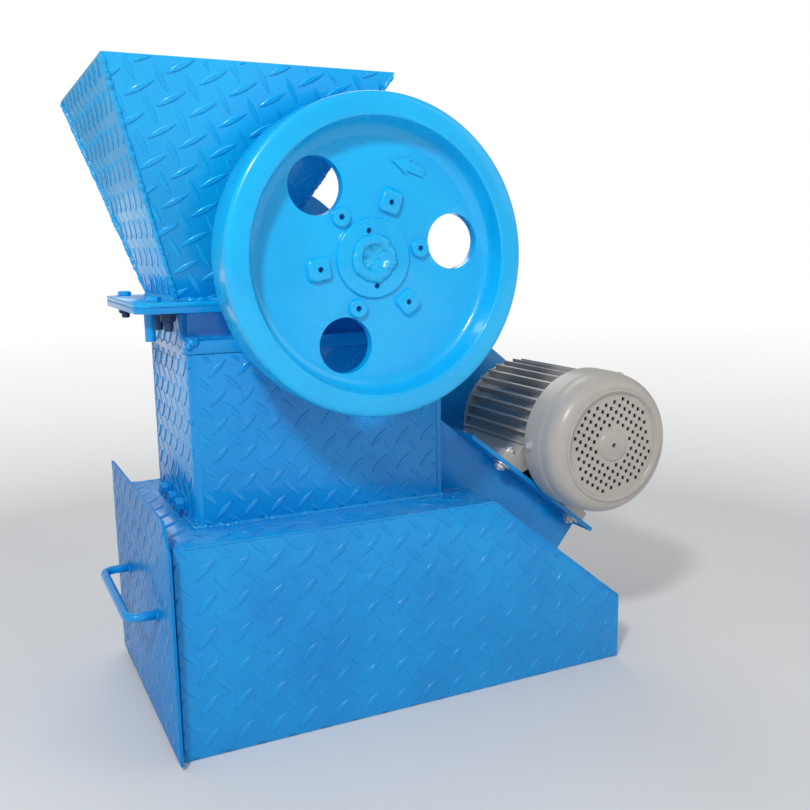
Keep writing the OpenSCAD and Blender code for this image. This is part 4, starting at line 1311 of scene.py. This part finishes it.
class CRUSHER_OT_drawer(bpy.types.Operator):
    """Drawer: front of checker plate, tray and handle"""

    bl_idname = "crusher.drawer"
    bl_label = "Drawer"

    def execute(self, context):
        plate = sizes("plate")
        eased(("drawer_front", "drawer_tray"), plate.edge)
        start, end = ends("drawer_front")
        self.handle(start.x)
        clip_y, clip_z = start.y + 0.032, end.z - 0.034
        outline = [
            (end.y, start.z), (start.y, start.z), (start.y, clip_z), (clip_y, end.z), (end.y, end.z)]
        tread("tread_drawer", "drawer_front", [(start.x, y, z) for y, z in outline], plate.base_pitch,
              relief=plate.drawer_share)
        grip, grip_end = ends("drawer_handle")
        radius, z = (grip_end.z - grip.z) / 2, middle("drawer_handle").z
        turns = [math.tau * i / 10 for i in range(11)]
        rings = [[(start.x, y + radius * math.cos(turn), z + radius * math.sin(turn)) for turn in turns]
                 for y in (grip.y + radius, grip_end.y - radius)]
        beads("weld_handle", "drawer_front", rings, 0.0032, 31)
        return {"FINISHED"}

    def handle(self, plate_x):
        """Handle bent from a round bar."""
        grip, grip_end = ends("drawer_handle")
        radius = (grip_end.z - grip.z) / 2
        z, x = middle("drawer_handle").z, grip.x + radius
        y0, y1 = grip.y + radius, grip_end.y - radius
        line = rounded([(plate_x + 0.002, y0, z), (x, y0, z), (x, y1, z), (plate_x + 0.002, y1, z)],
                       {1: 0.020, 2: 0.020}, 8)
        obj = piece("handle_bar", bars([[(spot, 1) for spot in line]], radius, 6), "drawer_handle")
        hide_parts("drawer_handle")


# Stage

class CRUSHER_OT_stage(bpy.types.Operator):
    """Studio: pale floor, soft lights and the photograph's camera"""

    bl_idname = "crusher.stage"
    bl_label = "Stage"

    def execute(self, context):
        scene = context.scene
        scene.view_settings.view_transform = "Standard"
        self.floor()
        self.world(scene)
        self.lamp("Key", (-1.35, -1.7, 2.05), 0.28, 36)
        self.lamp("Fill", (2.6, -2.4, 1.9), 2.2, 14)
        self.lamp("Back", (0.6, 3.0, 2.8), 2.2, 30)
        self.camera(scene)
        return {"FINISHED"}

    def floor(self):
        """A wide pale floor."""
        bm = bmesh.new()
        bmesh.ops.create_circle(bm, cap_ends=True, segments=96, radius=14)
        obj = placed("floor", template_of("floor", bm))
        obj.location.z = -0.0005
        material, tree, shader = finish("Floor", 0.85)
        place = object_place(tree)
        colour = sizes("colours").floor
        near = blend_colours(tree, noise(tree, place, 3.0, 6.0), rgba(colour), rgba(colour, 0.97))
        join(tree, near, shader.inputs["Base Color"])
        far = add(tree, "ShaderNodeEmission", Color=(1, 1, 1, 1), Strength=1.0)
        distance = add(tree, "ShaderNodeVectorMath", {"operation": "LENGTH"}, Vector=place)
        nearness = maths(tree, "DIVIDE", 1.0, distance.outputs["Value"])
        edge = ramp(tree, nearness, 0.85, 0.16)
        mixed = blend_shaders(tree, edge, shader.outputs["BSDF"], far.outputs["Emission"])
        join(tree, mixed, tree.nodes["Material Output"].inputs["Surface"])
        obj.data.materials.append(material)

    def world(self, scene):
        """Level light all round, and white where the camera sees it."""
        world = bpy.data.worlds.new("Studio")
        scene.world = world
        world.use_nodes = True
        tree = world.node_tree
        tree.nodes.clear()
        seen = add(tree, "ShaderNodeLightPath").outputs["Is Camera Ray"]
        level = add(tree, "ShaderNodeBackground", Color=(0.96, 0.98, 1.0, 1), Strength=0.42)
        white = add(tree, "ShaderNodeBackground", Color=(1, 1, 1, 1), Strength=1.0)
        mixed = blend_shaders(tree, seen, level.outputs[0], white.outputs[0])
        add(tree, "ShaderNodeOutputWorld", Surface=mixed)

    def lamp(self, name, spot, side, power):
        """A soft square lamp that looks at the object's middle."""
        data = bpy.data.lights.new(name, "AREA")
        data.size = side
        data.energy = power
        obj = placed(name, data)
        target = Vector((0, 0, 0.4))
        obj.location = spot
        obj.rotation_euler = (target - Vector(spot)).to_track_quat("-Z", "Y").to_euler()

    def camera(self, scene):
        """The photograph's camera."""
        picture, focal, centre = 810, 939.27, (411.76, 414.87)
        yaw, pitch, roll = (math.radians(angle) for angle in (25.993, -10.228, -0.795))
        forward = Vector(
            (math.sin(yaw) * math.cos(pitch), math.cos(yaw) * math.cos(pitch), math.sin(pitch)))
        level_right = Vector((math.cos(yaw), -math.sin(yaw), 0))
        level_up = level_right.cross(forward)
        right = level_right * math.cos(roll) + level_up * math.sin(roll)
        up = level_up * math.cos(roll) - level_right * math.sin(roll)
        data = bpy.data.cameras.new("Camera")
        data.sensor_width = 36
        data.lens = data.sensor_width * focal / picture
        data.shift_x = (picture / 2 - centre[0]) / picture
        data.shift_y = (centre[1] - picture / 2) / picture
        data.clip_end = 100
        obj = placed("Camera", data)
        turn = Matrix((right, up, -forward)).transposed().to_4x4()
        obj.matrix_world = Matrix.Translation((-0.55519, -1.29488, 0.64000)) @ turn
        scene.camera = obj


OPERATORS = [
    CRUSHER_OT_stage, CRUSHER_OT_base, CRUSHER_OT_casing, CRUSHER_OT_hopper, CRUSHER_OT_welds,
    CRUSHER_OT_flywheel, CRUSHER_OT_bearings, CRUSHER_OT_bolts, CRUSHER_OT_motor, CRUSHER_OT_drive,
    CRUSHER_OT_jaws, CRUSHER_OT_drawer,
]
GROUPS = {
    "plate": CrusherPlate, "wheel": CrusherWheel, "motor": CrusherMotor, "colours": CrusherColours}


class CRUSHER_PT_panel(bpy.types.Panel):
    """Sizes, colours and steps of the jaw crusher"""

    bl_idname = "CRUSHER_PT_panel"
    bl_label = "Jaw crusher"
    bl_space_type = "VIEW_3D"
    bl_region_type = "UI"
    bl_category = "Crusher"

    def draw(self, context):
        for kind in GROUPS:
            box = self.layout.box()
            group = sizes(kind)
            for name in group.__annotations__:
                box.prop(group, name)
        for operator in OPERATORS:
            self.layout.operator(operator.bl_idname)


def register():
    """Adds the classes and the scene's groups of sizes."""
    for kind, group in GROUPS.items():
        bpy.utils.register_class(group)
        setattr(bpy.types.Scene, "crusher_" + kind, bpy.props.PointerProperty(type=group))
    for operator in OPERATORS:
        bpy.utils.register_class(operator)
    bpy.utils.register_class(CRUSHER_PT_panel)


def unregister():
    """Takes the classes and the scene's groups of sizes away."""
    bpy.utils.unregister_class(CRUSHER_PT_panel)
    for operator in reversed(OPERATORS):
        bpy.utils.unregister_class(operator)
    for kind, group in reversed(GROUPS.items()):
        delattr(bpy.types.Scene, "crusher_" + kind)
        bpy.utils.unregister_class(group)


def main():
    """Registers the add-on and runs its operators in order."""
    register()
    for operator in OPERATORS:
        step = getattr(bpy.ops.crusher, operator.bl_idname.split(".")[1])
        step()


if __name__ == "__main__":
    main()
